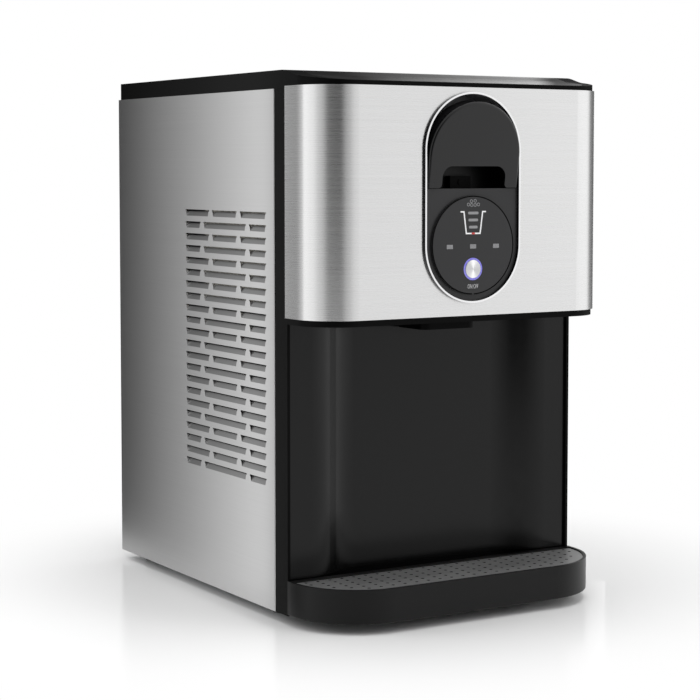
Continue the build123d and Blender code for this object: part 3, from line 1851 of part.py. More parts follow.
coil_x = (condenser_x - condenser_depth / 2, condenser_x + condenser_depth / 2)
coil_y = (front_y + condenser_front, front_y + condenser_front + condenser_run)
row_pitch = condenser_height / tube_rows
fin_count = int(condenser_run / fin_pitch)
with BuildPart() as condenser:
    for y in (coil_y[0], coil_y[1] - fin_thickness):
        block(coil_x, (y, y + fin_thickness), (base_top, base_top + condenser_height))
    with Locations(
        (condenser_x, (coil_y[0] + coil_y[1]) / 2, base_top + (condenser_height + tube_radius) / 2)
    ):
        with GridLocations(0, fin_pitch, 1, fin_count - 1):
            Box(condenser_depth, fin_thickness, condenser_height - tube_radius)
    for row in range(tube_rows):
        row_z = base_top + (row + 0.5) * row_pitch
        rod("y", (condenser_x, (coil_y[0] + coil_y[1]) / 2, row_z), tube_radius, condenser_run)
condenser.part.label = "condenser"
export_step(condenser.part, "parts/condenser.step")

fan_y = (coil_y[0] + coil_y[1]) / 2
fan_z = base_top + condenser_height / 2
shroud_x = (coil_x[0] - shroud_depth, coil_x[0])
strut_x = (shroud_x[0] - strut_thickness, shroud_x[0])
fan_hole = fan_radius + fan_tip_gap
with BuildPart() as fan_shroud:
    block(shroud_x, coil_y, (base_top, base_top + condenser_height))
    block(
        (shroud_x[0] + shroud_wall, shroud_x[1]),
        (coil_y[0] + shroud_wall, coil_y[1] - shroud_wall),
        (base_top + shroud_wall, base_top + condenser_height - shroud_wall),
        mode=Mode.SUBTRACT,
    )
    rod("x", (shroud_x[0] + shroud_wall / 2, fan_y, fan_z), fan_hole, shroud_wall, mode=Mode.SUBTRACT)
    for side in (-1, 1):
        strut = fan_y + side * (fan_motor_radius - strut_width)
        block(
            strut_x,
            (strut - strut_width / 2, strut + strut_width / 2),
            (fan_z - fan_hole - strut_width, fan_z + fan_hole + strut_width),
        )
fan_shroud.part.label = "fan_shroud"
export_step(fan_shroud.part, "parts/fan_shroud.step")

motor_x = (strut_x[0] - fan_motor_depth, strut_x[0])
with BuildPart() as fan_motor:
    rod("x", ((motor_x[0] + motor_x[1]) / 2, fan_y, fan_z), fan_motor_radius, fan_motor_depth)
    rod(
        "x",
        (motor_x[1] - fan_shaft_grip / 2, fan_y, fan_z),
        fan_shaft_radius + pin_clearance,
        fan_shaft_grip,
        mode=Mode.SUBTRACT,
    )
fan_motor.part.label = "fan_motor"
export_step(fan_motor.part, "parts/fan_motor.step")

hub_x = (shroud_x[1] - fan_gap - fan_hub_depth, shroud_x[1] - fan_gap)
with BuildPart() as fan_blade:
    rod("x", ((hub_x[0] + hub_x[1]) / 2, fan_y, fan_z), fan_hub_radius, fan_hub_depth)
    shaft_x = (motor_x[1] - fan_shaft_grip + pin_clearance, hub_x[0])
    rod("x", ((shaft_x[0] + shaft_x[1]) / 2, fan_y, fan_z), fan_shaft_radius, shaft_x[1] - shaft_x[0])
    root = fan_hub_radius - blade_thickness
    with Locations(Location(((hub_x[0] + hub_x[1]) / 2, fan_y, fan_z), (0, 90, 0))):
        with PolarLocations(0, fan_blades):
            with Locations(Location(((root + fan_radius) / 2, 0, 0), (blade_angle, 0, 0))):
                Box(fan_radius - root, blade_chord, blade_thickness)
fan_blade.part.label = "fan_blade"
export_step(fan_blade.part, "parts/fan_blade.step")

drier_at = front_y + drier_y
with BuildPart() as filter_drier:
    rod("z", (drier_x, drier_at, base_top + drier_low + drier_length / 2), drier_radius, drier_length)
    fillet(filter_drier.edges().filter_by(GeomType.CIRCLE), drier_radius - pipe_radius - seat_gap)
filter_drier.part.label = "filter_drier"
export_step(filter_drier.part, "parts/filter_drier.step")

top_row_z = base_top + condenser_height - row_pitch / 2
low_row_z = base_top + row_pitch / 2
compressor_top = can_z + compressor_height
coil_port_x = -cheek_half - cheek_thickness
with BuildPart() as refrigerant_pipes:
    discharge = [
        (comp_x + compressor_radius, comp_y, base_top + discharge_z),
        (drier_x, comp_y, base_top + discharge_z),
        (drier_x, comp_y, top_row_z),
        (condenser_x, comp_y, top_row_z),
        (condenser_x, coil_y[1], top_row_z),
    ]
    liquid = [
        (condenser_x, coil_y[1], low_row_z),
        (condenser_x, drier_at, low_row_z),
        (drier_x, drier_at, low_row_z),
        (drier_x, drier_at, base_top + drier_low),
    ]
    capillary = [
        (drier_x, drier_at, base_top + drier_low + drier_length),
        (drier_x, drier_at, liquid_run_z),
        (-pipe_x, drier_at, liquid_run_z),
        (-pipe_x, maker_y - finger_spacing_y / 2, liquid_run_z),
        (-pipe_x, maker_y - finger_spacing_y / 2, coil_z),
        (coil_port_x, maker_y - finger_spacing_y / 2, coil_z),
    ]
    suction = [
        (coil_port_x, maker_y + finger_spacing_y / 2, coil_z),
        (-pipe_x, maker_y + finger_spacing_y / 2, coil_z),
        (-pipe_x, maker_y + finger_spacing_y / 2, suction_run_z),
        (comp_x, maker_y + finger_spacing_y / 2, suction_run_z),
        (comp_x, comp_y, suction_run_z),
        (comp_x, comp_y, compressor_top),
    ]
    for route in (discharge, liquid, capillary, suction):
        add(tube(route, pipe_radius, pipe_bend))
refrigerant_pipes.part.label = "refrigerant_pipes"
export_step(refrigerant_pipes.part, "parts/refrigerant_pipes.step")

# Electrical pieces at the front and the back

web_board_y = front_y + board_web_gap
board_left = -power_board_x - power_board_width / 2
with BuildPart() as power_board:
    block(
        (board_left, board_left + power_board_width),
        (web_board_y, web_board_y + board_thickness),
        (power_board_z, power_board_z + power_board_height),
    )
    with Locations((-power_board_x, front_y + board_web_gap / 2, power_board_z + power_board_height / 2)):
        with Locations(Location((0, 0, 0), (90, 0, 0))):
            with GridLocations(
                power_board_width - 2 * board_margin,
                power_board_height - 2 * board_margin,
                2,
                2,
            ):
                Cylinder(post_radius, board_web_gap)
    rear_face = web_board_y + board_thickness
    rod(
        "y",
        (-power_board_x, rear_face + capacitor_height / 2, power_board_z + power_board_height / 4),
        capacitor_radius,
        capacitor_height,
    )
    relay_x = board_left + power_board_width / 4
    relay_z = power_board_z + 3 * power_board_height / 4
    block(
        (relay_x - relay_size / 2, relay_x + relay_size / 2),
        (rear_face, rear_face + relay_size),
        (relay_z - relay_size / 2, relay_z + relay_size / 2),
    )
power_board.part.label = "power_board"
export_step(power_board.part, "parts/power_board.step")

inlet_floor_y = rear_outer_y + inlet_flange_thickness - inlet_depth
with BuildPart() as power_inlet:
    block(
        (inlet_x - inlet_width / 2, inlet_x + inlet_width / 2),
        (inlet_floor_y - inlet_wall, rear_outer_y),
        (inlet_z - inlet_height / 2, inlet_z + inlet_height / 2),
    )
    block(
        (inlet_x - inlet_width / 2 - inlet_flange, inlet_x + inlet_width / 2 + inlet_flange),
        (rear_outer_y, rear_outer_y + inlet_flange_thickness),
        (inlet_z - (inlet_height + inlet_flange) / 2, inlet_z + (inlet_height + inlet_flange) / 2),
    )
    block(
        (inlet_x - inlet_width / 2 + inlet_wall, inlet_x + inlet_width / 2 - inlet_wall),
        (inlet_floor_y, rear_outer_y + inlet_flange_thickness),
        (inlet_z - inlet_height / 2 + inlet_wall, inlet_z + inlet_height / 2 - inlet_wall),
        mode=Mode.SUBTRACT,
    )
    for step in (-1, 0, 1):
        pin_x = inlet_x + step * blade_spacing
        pin_z = inlet_z + (1 - abs(step)) * blade_height / 2
        block(
            (pin_x - blade_width / 2, pin_x + blade_width / 2),
            (inlet_floor_y, inlet_floor_y + blade_length),
            (pin_z - blade_height / 2, pin_z + blade_height / 2),
        )
power_inlet.part.label = "power_inlet"
export_step(power_inlet.part, "parts/power_inlet.step")
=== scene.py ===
"""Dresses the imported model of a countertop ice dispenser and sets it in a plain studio.

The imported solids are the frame. Each finish is a class, each sub-assembly that gets pieces of its
own is a class, and main() dresses the solids and builds the classes in order.
"""

import json
import logging
import math
from dataclasses import dataclass, field
from enum import Enum

import bmesh
import bpy
from mathutils import Matrix, Vector

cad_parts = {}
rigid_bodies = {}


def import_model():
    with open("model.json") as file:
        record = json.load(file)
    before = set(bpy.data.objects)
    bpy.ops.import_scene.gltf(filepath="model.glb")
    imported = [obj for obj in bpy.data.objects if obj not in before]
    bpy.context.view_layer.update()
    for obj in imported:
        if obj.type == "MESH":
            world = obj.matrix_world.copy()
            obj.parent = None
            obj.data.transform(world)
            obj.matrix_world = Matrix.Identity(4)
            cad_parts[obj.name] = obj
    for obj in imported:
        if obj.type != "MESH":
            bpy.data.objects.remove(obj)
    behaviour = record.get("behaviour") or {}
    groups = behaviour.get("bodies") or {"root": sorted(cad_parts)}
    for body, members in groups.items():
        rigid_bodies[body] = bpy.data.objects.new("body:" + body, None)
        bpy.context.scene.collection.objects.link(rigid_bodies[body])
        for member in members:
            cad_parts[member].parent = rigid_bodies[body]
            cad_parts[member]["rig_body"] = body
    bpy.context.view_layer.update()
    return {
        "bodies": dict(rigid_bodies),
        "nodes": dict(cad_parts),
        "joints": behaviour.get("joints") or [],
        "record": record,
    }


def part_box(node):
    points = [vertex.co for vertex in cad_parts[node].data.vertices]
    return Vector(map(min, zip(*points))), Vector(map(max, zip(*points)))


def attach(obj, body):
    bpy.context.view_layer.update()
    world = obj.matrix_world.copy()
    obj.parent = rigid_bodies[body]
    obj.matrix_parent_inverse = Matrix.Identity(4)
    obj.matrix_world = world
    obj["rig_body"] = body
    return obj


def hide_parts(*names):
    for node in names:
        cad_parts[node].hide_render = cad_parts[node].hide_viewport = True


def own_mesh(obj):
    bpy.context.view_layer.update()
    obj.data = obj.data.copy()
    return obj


Colour = tuple[float, float, float, float]
Point = tuple[float, float, float]
Span = tuple[float, float]
Tree = bpy.types.NodeTree
Node = bpy.types.Node
Socket = bpy.types.NodeSocket
Thing = bpy.types.Object
Shape = bmesh.types.BMesh
Inputs = dict[str | int, object]

MILLIMETRE = 0.001
PHOTO_SIDE = 700
WHITE: Colour = (1.0, 1.0, 1.0, 1.0)
WHOLE: Span = (0.0, 1.0)
QUARTER_TURN = 0.25
# Most of a noise's values lie in this span.
NOISE_RANGE: Span = (0.3, 0.7)
# A wave texture multiplies its coordinates by this before it takes the sine.
WAVE_STRETCH = 20.0
# Turns a shape that lies flat to face the front.
UPRIGHT = Matrix.Rotation(math.radians(90.0), 4, "X")

log = logging.getLogger("ice_dispenser")


class Axis(Enum):
    """An axis of the row frame, by the name that nodes give it."""

    DEPTH = "Y"
    HEIGHT = "Z"


class Side(Enum):
    """A side of the object, by the sign of its X."""

    LEFT = -1
    RIGHT = 1


def linear(hex_code: str) -> Colour:
    """Turn an sRGB hex colour into Blender's linear colour.

    Args:
        hex_code: six hex digits, with or without a leading hash.

    Returns:
        Red, green and blue in linear light, and an alpha of one.
    """
    digits = hex_code.lstrip("#")
    channels = [int(digits[i : i + 2], 16) / 255 for i in (0, 2, 4)]
    light = [c / 12.92 if c <= 0.04045 else ((c + 0.055) / 1.055) ** 2.4 for c in channels]
    return (light[0], light[1], light[2], 1.0)


def feed(tree: Tree, node: Node, inputs: Inputs) -> None:
    """Give a node's sockets their values and links.

    Args:
        tree: the node tree that holds the node.
        node: the node.
        inputs: socket name or number to a value, or to the output socket that feeds it.
    """
    for name, value in inputs.items():
        if isinstance(value, Socket):
            tree.links.new(value, node.inputs[name])
        else:
            node.inputs[name].default_value = value


def add_node(
    tree: Tree,
    kind: str,
    settings: dict[str, object] | None = None,
    inputs: Inputs | None = None,
) -> Node:
    """Add a node with its settings, socket values and links.

    Args:
        tree: the node tree that takes the node.
        kind: the node's type name without its ShaderNode prefix.
        settings: attributes to set on the node.
        inputs: socket name or number to a value, or to the output socket that feeds it.

    Returns:
        The new node.
    """
    node = tree.nodes.new("ShaderNode" + kind)
    for name, value in (settings or {}).items():
        setattr(node, name, value)
    feed(tree, node, inputs or {})
    return node


def split(tree: Tree, coordinates: str) -> Node:
    """Return a node that gives X, Y and Z of the named coordinates."""
    where = add_node(tree, "TexCoord")
    return add_node(tree, "SeparateXYZ", inputs={"Vector": where.outputs[coordinates]})


def remap(
    tree: Tree, value: Socket, within: Span, span: Span = WHOLE, smooth: bool = False
) -> Socket:
    """Map a value's range on to another span, and hold it at the ends.

    Args:
        tree: the node tree.
        value: the value to map.
        within: the value's range.
        span: the results at the bottom and at the top of that range.
        smooth: whether the value eases in and out.

    Returns:
        The mapped value.
    """
    settings = {"interpolation_type": "SMOOTHSTEP" if smooth else "LINEAR"}
    inputs: Inputs = {
        "Value": value,
        "From Min": within[0],
        "From Max": within[1],
        "To Min": span[0],
        "To Max": span[1],
    }
    return add_node(tree, "MapRange", settings, inputs).outputs["Result"]


def blend(out: Node, share: Socket, first: Node, second: Node) -> None:
    """Send a blend of two shaders to a node tree's output.

    Args:
        out: the output node.
        share: the share of the second shader.
        first: the first shader.
        second: the second shader.
    """
    tree = out.id_data
    inputs: Inputs = {0: share, 1: first.outputs[0], 2: second.outputs[0]}
    feed(tree, out, {"Surface": add_node(tree, "MixShader", inputs=inputs).outputs[0]})


def grade(node: Node, stops: tuple[Span, ...], span: Span) -> None:
    """Set a colour ramp to a row of greys.

    Args:
        node: the colour ramp.
        stops: each stop's place and its grey level, from the first to the last.
        span: the places at the ramp's start and at its end.
    """
    low, high = span
    marks = node.color_ramp.elements
    for place, level in stops[1:-1]:
        marks.new((place - low) / (high - low)).color = (level, level, level, 1.0)
    for end in (0, -1):
        place, level = stops[end]
        marks[end].position = (place - low) / (high - low)
        marks[end].color = (level, level, level, 1.0)


def in_scene(name: str, data: bpy.types.ID) -> Thing:
    """Put a new object into the scene.

    Args:
        name: the object's name.
        data: the mesh, curve, lamp or camera that it shows.

    Returns:
        The new object.
    """
    thing = bpy.data.objects.new(name, data)
    bpy.context.scene.collection.objects.link(thing)
    return thing


def meshed(shape: Shape, name: str, material: bpy.types.Material) -> Thing:
    """Turn a bmesh into an object of one material.

    Args:
        shape: the mesh in the row frame, in metres; it is freed here.
        name: the object's name.
        material: its material.

    Returns:
        The new object.
    """
    mesh = bpy.data.meshes.new(name)
    shape.to_mesh(mesh)
    shape.free()
    mesh.materials.append(material)
    return in_scene(name, mesh)


@dataclass(frozen=True)
class Surface:
    """A material's nodes and its surface shader, with the steps that the finishes share."""

    tree: Tree
    shader: Node

    def feed(self, inputs: Inputs) -> None:
        """Give the shader's sockets their values and links."""
        feed(self.tree, self.shader, inputs)

    def paint(self) -> Socket:
        """Return what feeds the base colour so far."""
        return self.shader.inputs["Base Color"].links[0].from_socket

    def scaled(self, size_mm: float | Point) -> Socket:
        """Return Object coordinates, in metres, scaled to a pattern's own units.

        Args:
            size_mm: the pattern's unit, or its units along X, Y and Z, in millimetres.

        Returns:
            The scaled coordinates.
        """
        sizes = (size_mm,) * 3 if isinstance(size_mm, float) else size_mm
        scale = tuple(1.0 / (size * MILLIMETRE) for size in sizes)
        where = add_node(self.tree, "TexCoord")
        inputs: Inputs = {"Vector": where.outputs["Object"], "Scale": scale}
        return add_node(self.tree, "Mapping", inputs=inputs).outputs["Vector"]

    def noise(self, size_mm: float | Point, detail: float = 2.0) -> Socket:
        """Return a noise with lumps of a given size.

        Args:
            size_mm: the size of one lump, or its sizes along X, Y and Z, in millimetres.
            detail: how many finer layers the noise has.

        Returns:
            The noise's value, about 0 to 1.
        """
        inputs: Inputs = {"Vector": self.scaled(size_mm), "Scale": 1.0, "Detail": detail}
        return add_node(self.tree, "TexNoise", inputs=inputs).outputs["Fac"]

    def cells(self, size_mm: float) -> Node:
        """Return a node that divides the piece into cells about size_mm across."""
        inputs: Inputs = {"Vector": self.scaled(size_mm), "Scale": 1.0}
        return add_node(self.tree, "TexVoronoi", inputs=inputs)

    def tint(self, value: Socket, first: str | Socket, second: str | Socket) -> Socket:
        """Blend two colours by a value.

        Args:
            value: the share of the second colour.
            first: the colour at 0, in hex or as a socket.
            second: the colour at 1, in hex or as a socket.

        Returns:
            The blended colour.
        """
        ends = [linear(end) if isinstance(end, str) else end for end in (first, second)]
        inputs: Inputs = {"Factor": value, "A": ends[0], "B": ends[1]}
        return add_node(self.tree, "Mix", {"data_type": "RGBA"}, inputs).outputs["Result"]

    def fleck(self, noise: Socket, first: str, second: str, share: float) -> Socket:
        """Blend a colour by a noise towards a second one.

        Args:
            noise: the noise.
            first: the hex colour where the noise is lowest.
            second: the hex colour to blend towards.
            share: the share of the second colour where the noise is highest.

        Returns:
            The blended colour.
        """
        return self.tint(remap(self.tree, noise, NOISE_RANGE, (0.0, share)), first, second)

    def faces(self, axis: Axis, share: float) -> Socket:
        """Return 1 where the piece's own surface faces along an axis, either way, and 0 elsewhere.

        Args:
            axis: the axis.
            share: the least part of the normal that lies along it.

        Returns:
            The mask.
        """
        part = split(self.tree, "Normal").outputs[axis.value]
        size = add_node(self.tree, "Math", {"operation": "ABSOLUTE"}, {0: part})
        inputs: Inputs = {0: size.outputs[0], 1: share}
        return add_node(self.tree, "Math", {"operation": "GREATER_THAN"}, inputs).outputs[0]

    def comb(self, anisotropy: float, axis: Axis) -> None:
        """Stretch highlights as fine lines round an axis do.

        Args:
            anisotropy: how strongly, 0 to 1.
            axis: the axis that the lines run round.
        """
        around = add_node(self.tree, "Tangent", {"direction_type": "RADIAL", "axis": axis.value})
        self.feed(
            {
                "Anisotropic": anisotropy,
                "Anisotropic Rotation": QUARTER_TURN,
                "Tangent": around.outputs["Tangent"],
            }
        )

    def emboss(self, height: Socket, depth_mm: float) -> None:
        """Give the shader a bump.

        Args:
            height: the bump's height, 0 to 1.
            depth_mm: the height of 1, in millimetres.
        """
        inputs: Inputs = {"Height": height, "Distance": depth_mm * MILLIMETRE, "Strength": 1.0}
        self.feed({"Normal": add_node(self.tree, "Bump", inputs=inputs).outputs["Normal"]})


@dataclass(frozen=True)
class Finish:
    """What every finish has: a colour, a gloss, and a surface that a subclass works into it."""

    name: str
    colour: str
    roughness: float
    metallic: float = 0.0
    specular: float = 0.5
    swing: Span = (0.0, 0.05)

    def build(self) -> bpy.types.Material:
        """Make the material on first use, and share it after that.

        Returns:
            The material.
        """
        known = bpy.data.materials.get(self.name)
        if known is not None:
            return known
        material = bpy.data.materials.new(self.name)
        material.use_nodes = True
        material.diffuse_color = linear(self.colour)
        tree = material.node_tree
        surface = Surface(tree, tree.nodes["Principled BSDF"])
        surface.feed(
            {
                "Base Color": linear(self.colour),
                "Roughness": self.roughness,
                "Metallic": self.metallic,
                "Specular IOR Level": self.specular,
            }
        )
        self.work(surface)
        return material

    def vary_gloss(self, surface: Surface, value: Socket, within: Span = NOISE_RANGE) -> None:
        """Let the roughness follow a pattern, as far as swing says.

        Args:
            surface: the material's surface.
            value: the pattern.
            within: the pattern's range.
        """
        span = (self.roughness + self.swing[0], self.roughness + self.swing[1])
        surface.feed({"Roughness": remap(surface.tree, value, within, span)})

    def work(self, surface: Surface) -> None:
        """Work the pattern into the material; a subclass says how.

        Args:
            surface: the material's surface.
        """
        raise NotImplementedError


@dataclass(frozen=True)
class BrushedSteel(Finish):
    """Stainless sheet drawn under an abrasive belt: fine level lines that smear lights upright."""

    metallic: float = 1.0
    swing: Span = (-0.02, 0.03)
    line_mm: float = 0.45
    run_mm: float = 160.0
    anisotropy: float = 0.7
    depth_mm: float = 0.0025
    groove_share: float = 0.975

    def work(self, surface: Surface) -> None:
        """Draw the belt's lines, which vary gloss and tone, and turn the highlight across them.

        Args:
            surface: the material's surface.
        """
        lines = surface.noise((self.run_mm, self.run_mm, self.line_mm), detail=3.0)
        surface.feed({"Base Color": surface.fleck(lines, self.groove(), self.colour, 1.0)})
        self.vary_gloss(surface, lines)
        surface.comb(self.anisotropy, Axis.HEIGHT)
        surface.emboss(lines, self.depth_mm)

    def groove(self) -> str:
        """Darken the colour as the bottom of the belt's lines does.

        Returns:
            The darker colour, in hex.
        """
        digits = self.colour.lstrip("#")
        tones = (int(digits[i : i + 2], 16) * self.groove_share for i in (0, 2, 4))
        return "".join(f"{round(tone):02x}" for tone in tones)


@dataclass(frozen=True)
class PressedSteel(BrushedSteel):
    """Brushed sheet with pressed louvres, with painted shade on their sloped faces and a painted
    highlight on their sheared ends.
    """

    # Painted shade: the colour of the louvres' sloped faces, darker than the sheet.
    ramp: str = "8c8c8c"
    ramp_share: float = 0.4
    # Painted highlight: the colour of the louvres' front and back ends.
    cheek_painted_highlight: str = "ffffff"
    cheek_share: float = 0.8

    def work(self, surface: Surface) -> None:
        """Brush the sheet, then paint shade on the louvres' sloped faces and a highlight on their
        ends.

        Args:
            surface: the material's surface.
        """
        super().work(surface)
        shaded_ramps = surface.faces(Axis.HEIGHT, self.ramp_share)
        shade = surface.tint(shaded_ramps, surface.paint(), self.ramp)
        highlit_cheeks = surface.faces(Axis.DEPTH, self.cheek_share)
        surface.feed({"Base Color": surface.tint(highlit_cheeks, shade, self.cheek_painted_highlight)})


@dataclass(frozen=True)
class PunchedSteel(BrushedSteel):
    """Brushed sheet with punched holes, whose walls are painted black as painted shade."""

    # Painted shade: the near-black colour of the hole walls.
    wall: str = "050505"
    face_share: float = 0.8

    def work(self, surface: Surface) -> None:
        """Brush the sheet, then paint the walls of its holes black, as painted shade.

        Args:
            surface: the material's surface.
        """
        super().work(surface)
        sheet = surface.faces(Axis.HEIGHT, self.face_share)
        surface.feed({"Base Color": surface.tint(sheet, self.wall, surface.paint())})


@dataclass(frozen=True)
class MouldedPlastic(Finish):
    """ABS or polypropylene from a spark-eroded mould: an even fine grain that dulls the light."""

    swing: Span = (-0.05, 0.06)
    grain_mm: float = 0.9
    depth_mm: float = 0.03
    drift_mm: Point = (70.0, 70.0, 90.0)
    worn: str = "2a2a2b"
    worn_share: float = 0.35

    def work(self, surface: Surface) -> None:
        """Stipple the surface, and let its tone drift as a moulding's does.

        Args:
            surface: the material's surface.
        """
        stipple = surface.noise(self.grain_mm)
        drift = surface.noise(self.drift_mm, detail=1.0)
        shade = surface.fleck(drift, self.colour, self.worn, self.worn_share)
        surface.feed({"Base Color": shade})
        self.vary_gloss(surface, stipple)
        surface.emboss(stipple, self.depth_mm)


@dataclass(frozen=True)
class ShadePaintedPlastic(MouldedPlastic):
    """Moulded ABS whose lower part is painted black, as painted shade in a deep recess."""

    # Painted shade: the near-black colour below the height given next, blended over blend_mm.
    painted_shade: str = "010101"
    painted_shade_top_mm: float = 0.0
    blend_mm: float = 6.0

    def work(self, surface: Surface) -> None:
        """Stipple the moulding, then paint it black below a height, as painted shade.

        Args:
            surface: the material's surface.
        """
        super().work(surface)
        top = self.painted_shade_top_mm * MILLIMETRE
        edge = (self.painted_shade_top_mm - self.blend_mm) * MILLIMETRE
        rise = split(surface.tree, "Object").outputs["Z"]
        unshaded = remap(surface.tree, rise, (edge, top))
        surface.feed({"Base Color": surface.tint(unshaded, self.painted_shade, surface.paint())})


@dataclass(frozen=True)
class PolishedPlastic(Finish):
    """ABS from a polished mould: a mirror skin with the faint swell of a cooled moulding."""

    swell_mm: float = 28.0
    depth_mm: float = 0.02
    handling_mm: Point = (9.0, 9.0, 14.0)

    def work(self, surface: Surface) -> None:
        """Give the skin its swell, and a slight unevenness in its gloss.

        Args:
            surface: the material's surface.
        """
        swell = surface.noise(self.swell_mm, detail=1.0)
        self.vary_gloss(surface, surface.noise(self.handling_mm, detail=3.0))
        surface.emboss(swell, self.depth_mm)


@dataclass(frozen=True)
class FoiledPlastic(Finish):
    """Chrome-faced ABS: bright in front, and black down its walls as painted shade."""

    swing: Span = (0.0, 0.06)
    foil: str = "f0f0f1"
    face_share: float = 0.75
    haze_mm: float = 8.0

    def work(self, surface: Surface) -> None:
        """Lay the foil where the moulding's own surface faces the front, and leave the walls black
        as painted shade.

        Args:
            surface: the material's surface.
        """
        foiled = surface.faces(Axis.DEPTH, self.face_share)
        shade = surface.tint(foiled, self.colour, self.foil)
        surface.feed({"Base Color": shade, "Metallic": foiled})
        self.vary_gloss(surface, surface.noise(self.haze_mm))


@dataclass(frozen=True)
class PlatedSteel(Finish):
    """Steel under chrome, nickel or bright zinc: smooth metal with a light haze of handling."""

    metallic: float = 1.0
    swing: Span = (0.0, 0.08)
    haze_mm: float = 6.0

    def work(self, surface: Surface) -> None:
        """Let the gloss vary in soft patches.

        Args:
            surface: the material's surface.
        """
        self.vary_gloss(surface, surface.noise(self.haze_mm, detail=3.0))


@dataclass(frozen=True)
class SpunMetal(Finish):
    """Aluminium turned on a lathe: rings round its axis that stretch its highlights, and a painted
    bow-tie highlight in its colour.
    """

    metallic: float = 1.0
    swing: Span = (-0.03, 0.03)
    speck_mm: float = 1.4
    anisotropy: float = 0.85
    axis_height_mm: float = 0.0
    # Painted highlight: the colour of the bow tie above and below the axis.
    bright: str = "ffffff"
    painted_highlight_sharpness: float = 9.0

    def work(self, surface: Surface) -> None:
        """Turn the highlight round the piece's own axis, vary its gloss in fine specks, and paint a
        bow-tie highlight into the colour.

        Args:
            surface: the material's surface.
        """
        surface.comb(self.anisotropy, Axis.DEPTH)
        self.vary_gloss(surface, surface.noise(self.speck_mm, detail=1.0))
        shade = surface.tint(self.bow(surface.tree), self.colour, self.bright)
        surface.feed({"Base Color": shade})

    def bow(self, tree: Tree) -> Socket:
        """Return the painted highlight: 1 straight above and below the axis, falling away quickly
        to its sides.

        Args:
            tree: the material's node tree.

        Returns:
            The painted highlight's strength.
        """
        where = add_node(tree, "TexCoord")
        shift = (0.0, 0.0, -self.axis_height_mm * MILLIMETRE)
        inputs: Inputs = {0: where.outputs["Object"], 1: (1.0, 0.0, 1.0), 2: shift}
        flat = add_node(tree, "VectorMath", {"operation": "MULTIPLY_ADD"}, inputs)
        way = add_node(tree, "VectorMath", {"operation": "NORMALIZE"}, {0: flat.outputs["Vector"]})
        rise = add_node(tree, "SeparateXYZ", inputs={"Vector": way.outputs["Vector"]})
        upright = add_node(tree, "Math", {"operation": "ABSOLUTE"}, {0: rise.outputs["Z"]})
        inputs = {0: upright.outputs[0], 1: self.painted_highlight_sharpness}
        return add_node(tree, "Math", {"operation": "POWER"}, inputs).outputs[0]


@dataclass(frozen=True)
class SpangledZinc(Finish):
    """Hot-dip galvanised sheet: crystals of zinc, a few millimetres wide, each its own tone."""

    metallic: float = 1.0
    swing: Span = (-0.06, 0.08)
    crystal_mm: float = 7.0
    second: str = "8f9294"

    def work(self, surface: Surface) -> None:
        """Lay the crystals, and give each one its tone and gloss.

        Args:
            surface: the material's surface.
        """
        crystals = surface.cells(self.crystal_mm).outputs["Color"]
        one = add_node(surface.tree, "SeparateColor", inputs={"Color": crystals})
        surface.feed({"Base Color": surface.tint(one.outputs["Red"], self.colour, self.second)})
        self.vary_gloss(surface, one.outputs["Green"], WHOLE)


@dataclass(frozen=True)
class MouldedRubber(Finish):
    """Nitrile or silicone rubber: matt, with a faint bloom on it."""

    bloom: str = "3a3a3a"
    bloom_share: float = 0.4
    dust_mm: float = 3.0
    depth_mm: float = 0.05

    def work(self, surface: Surface) -> None:
        """Dust the rubber with bloom, and roughen it.

        Args:
            surface: the material's surface.
        """
        dust = surface.noise(self.dust_mm, detail=4.0)
        shade = surface.fleck(dust, self.colour, self.bloom, self.bloom_share)
        surface.feed({"Base Color": shade})
        surface.emboss(dust, self.depth_mm)


@dataclass(frozen=True)
class ExpandedFoam(Finish):
    """Polystyrene bead foam: beads pressed together, with darker joints between them."""

    bead_mm: float = 3.0
    depth_mm: float = 0.25
    joint: str = "c9c5ba"

    def work(self, surface: Surface) -> None:
        """Round each bead and darken the joints between them.

        Args:
            surface: the material's surface.
        """
        away = surface.cells(self.bead_mm).outputs["Distance"]
        surface.feed({"Base Color": surface.tint(away, self.colour, self.joint)})
        rise = add_node(surface.tree, "Math", {"operation": "SUBTRACT"}, {0: 1.0, 1: away})
        surface.emboss(rise.outputs[0], self.depth_mm)


@dataclass(frozen=True)
class DrawnCopper(Finish):
    """Drawn copper tube, brazed: bright metal that heat has browned in patches."""

    metallic: float = 1.0
    swing: Span = (0.0, 0.25)
    heat: str = "7a4a30"
    heat_share: float = 0.8
    patch_mm: float = 14.0

    def work(self, surface: Surface) -> None:
        """Brown the metal in patches, and dull it there.

        Args:
            surface: the material's surface.
        """
        patches = surface.noise(self.patch_mm, detail=4.0)
        shade = surface.fleck(patches, self.colour, self.heat, self.heat_share)
        surface.feed({"Base Color": shade})
        self.vary_gloss(surface, patches)


@dataclass(frozen=True)
class PrintedBoard(Finish):
    """Glass-fibre board under green solder mask, with copper tracks that show as paler lines."""

    track_mm: float = 2.5
    track: str = "2f7a4a"
    track_share: float = 0.08

    def work(self, surface: Surface) -> None:
        """Draw the tracks on a grid.

        Args:
            surface: the material's surface.
        """
        inputs: Inputs = {
            "Vector": surface.scaled(self.track_mm),
            "Color1": linear(self.colour),
            "Color2": linear(self.colour),
            "Mortar": linear(self.track),
            "Scale": 1.0,
            "Mortar Size": self.track_share,
        }
        grid = add_node(surface.tree, "TexBrick", inputs=inputs)
        surface.feed({"Base Color": grid.outputs["Color"]})


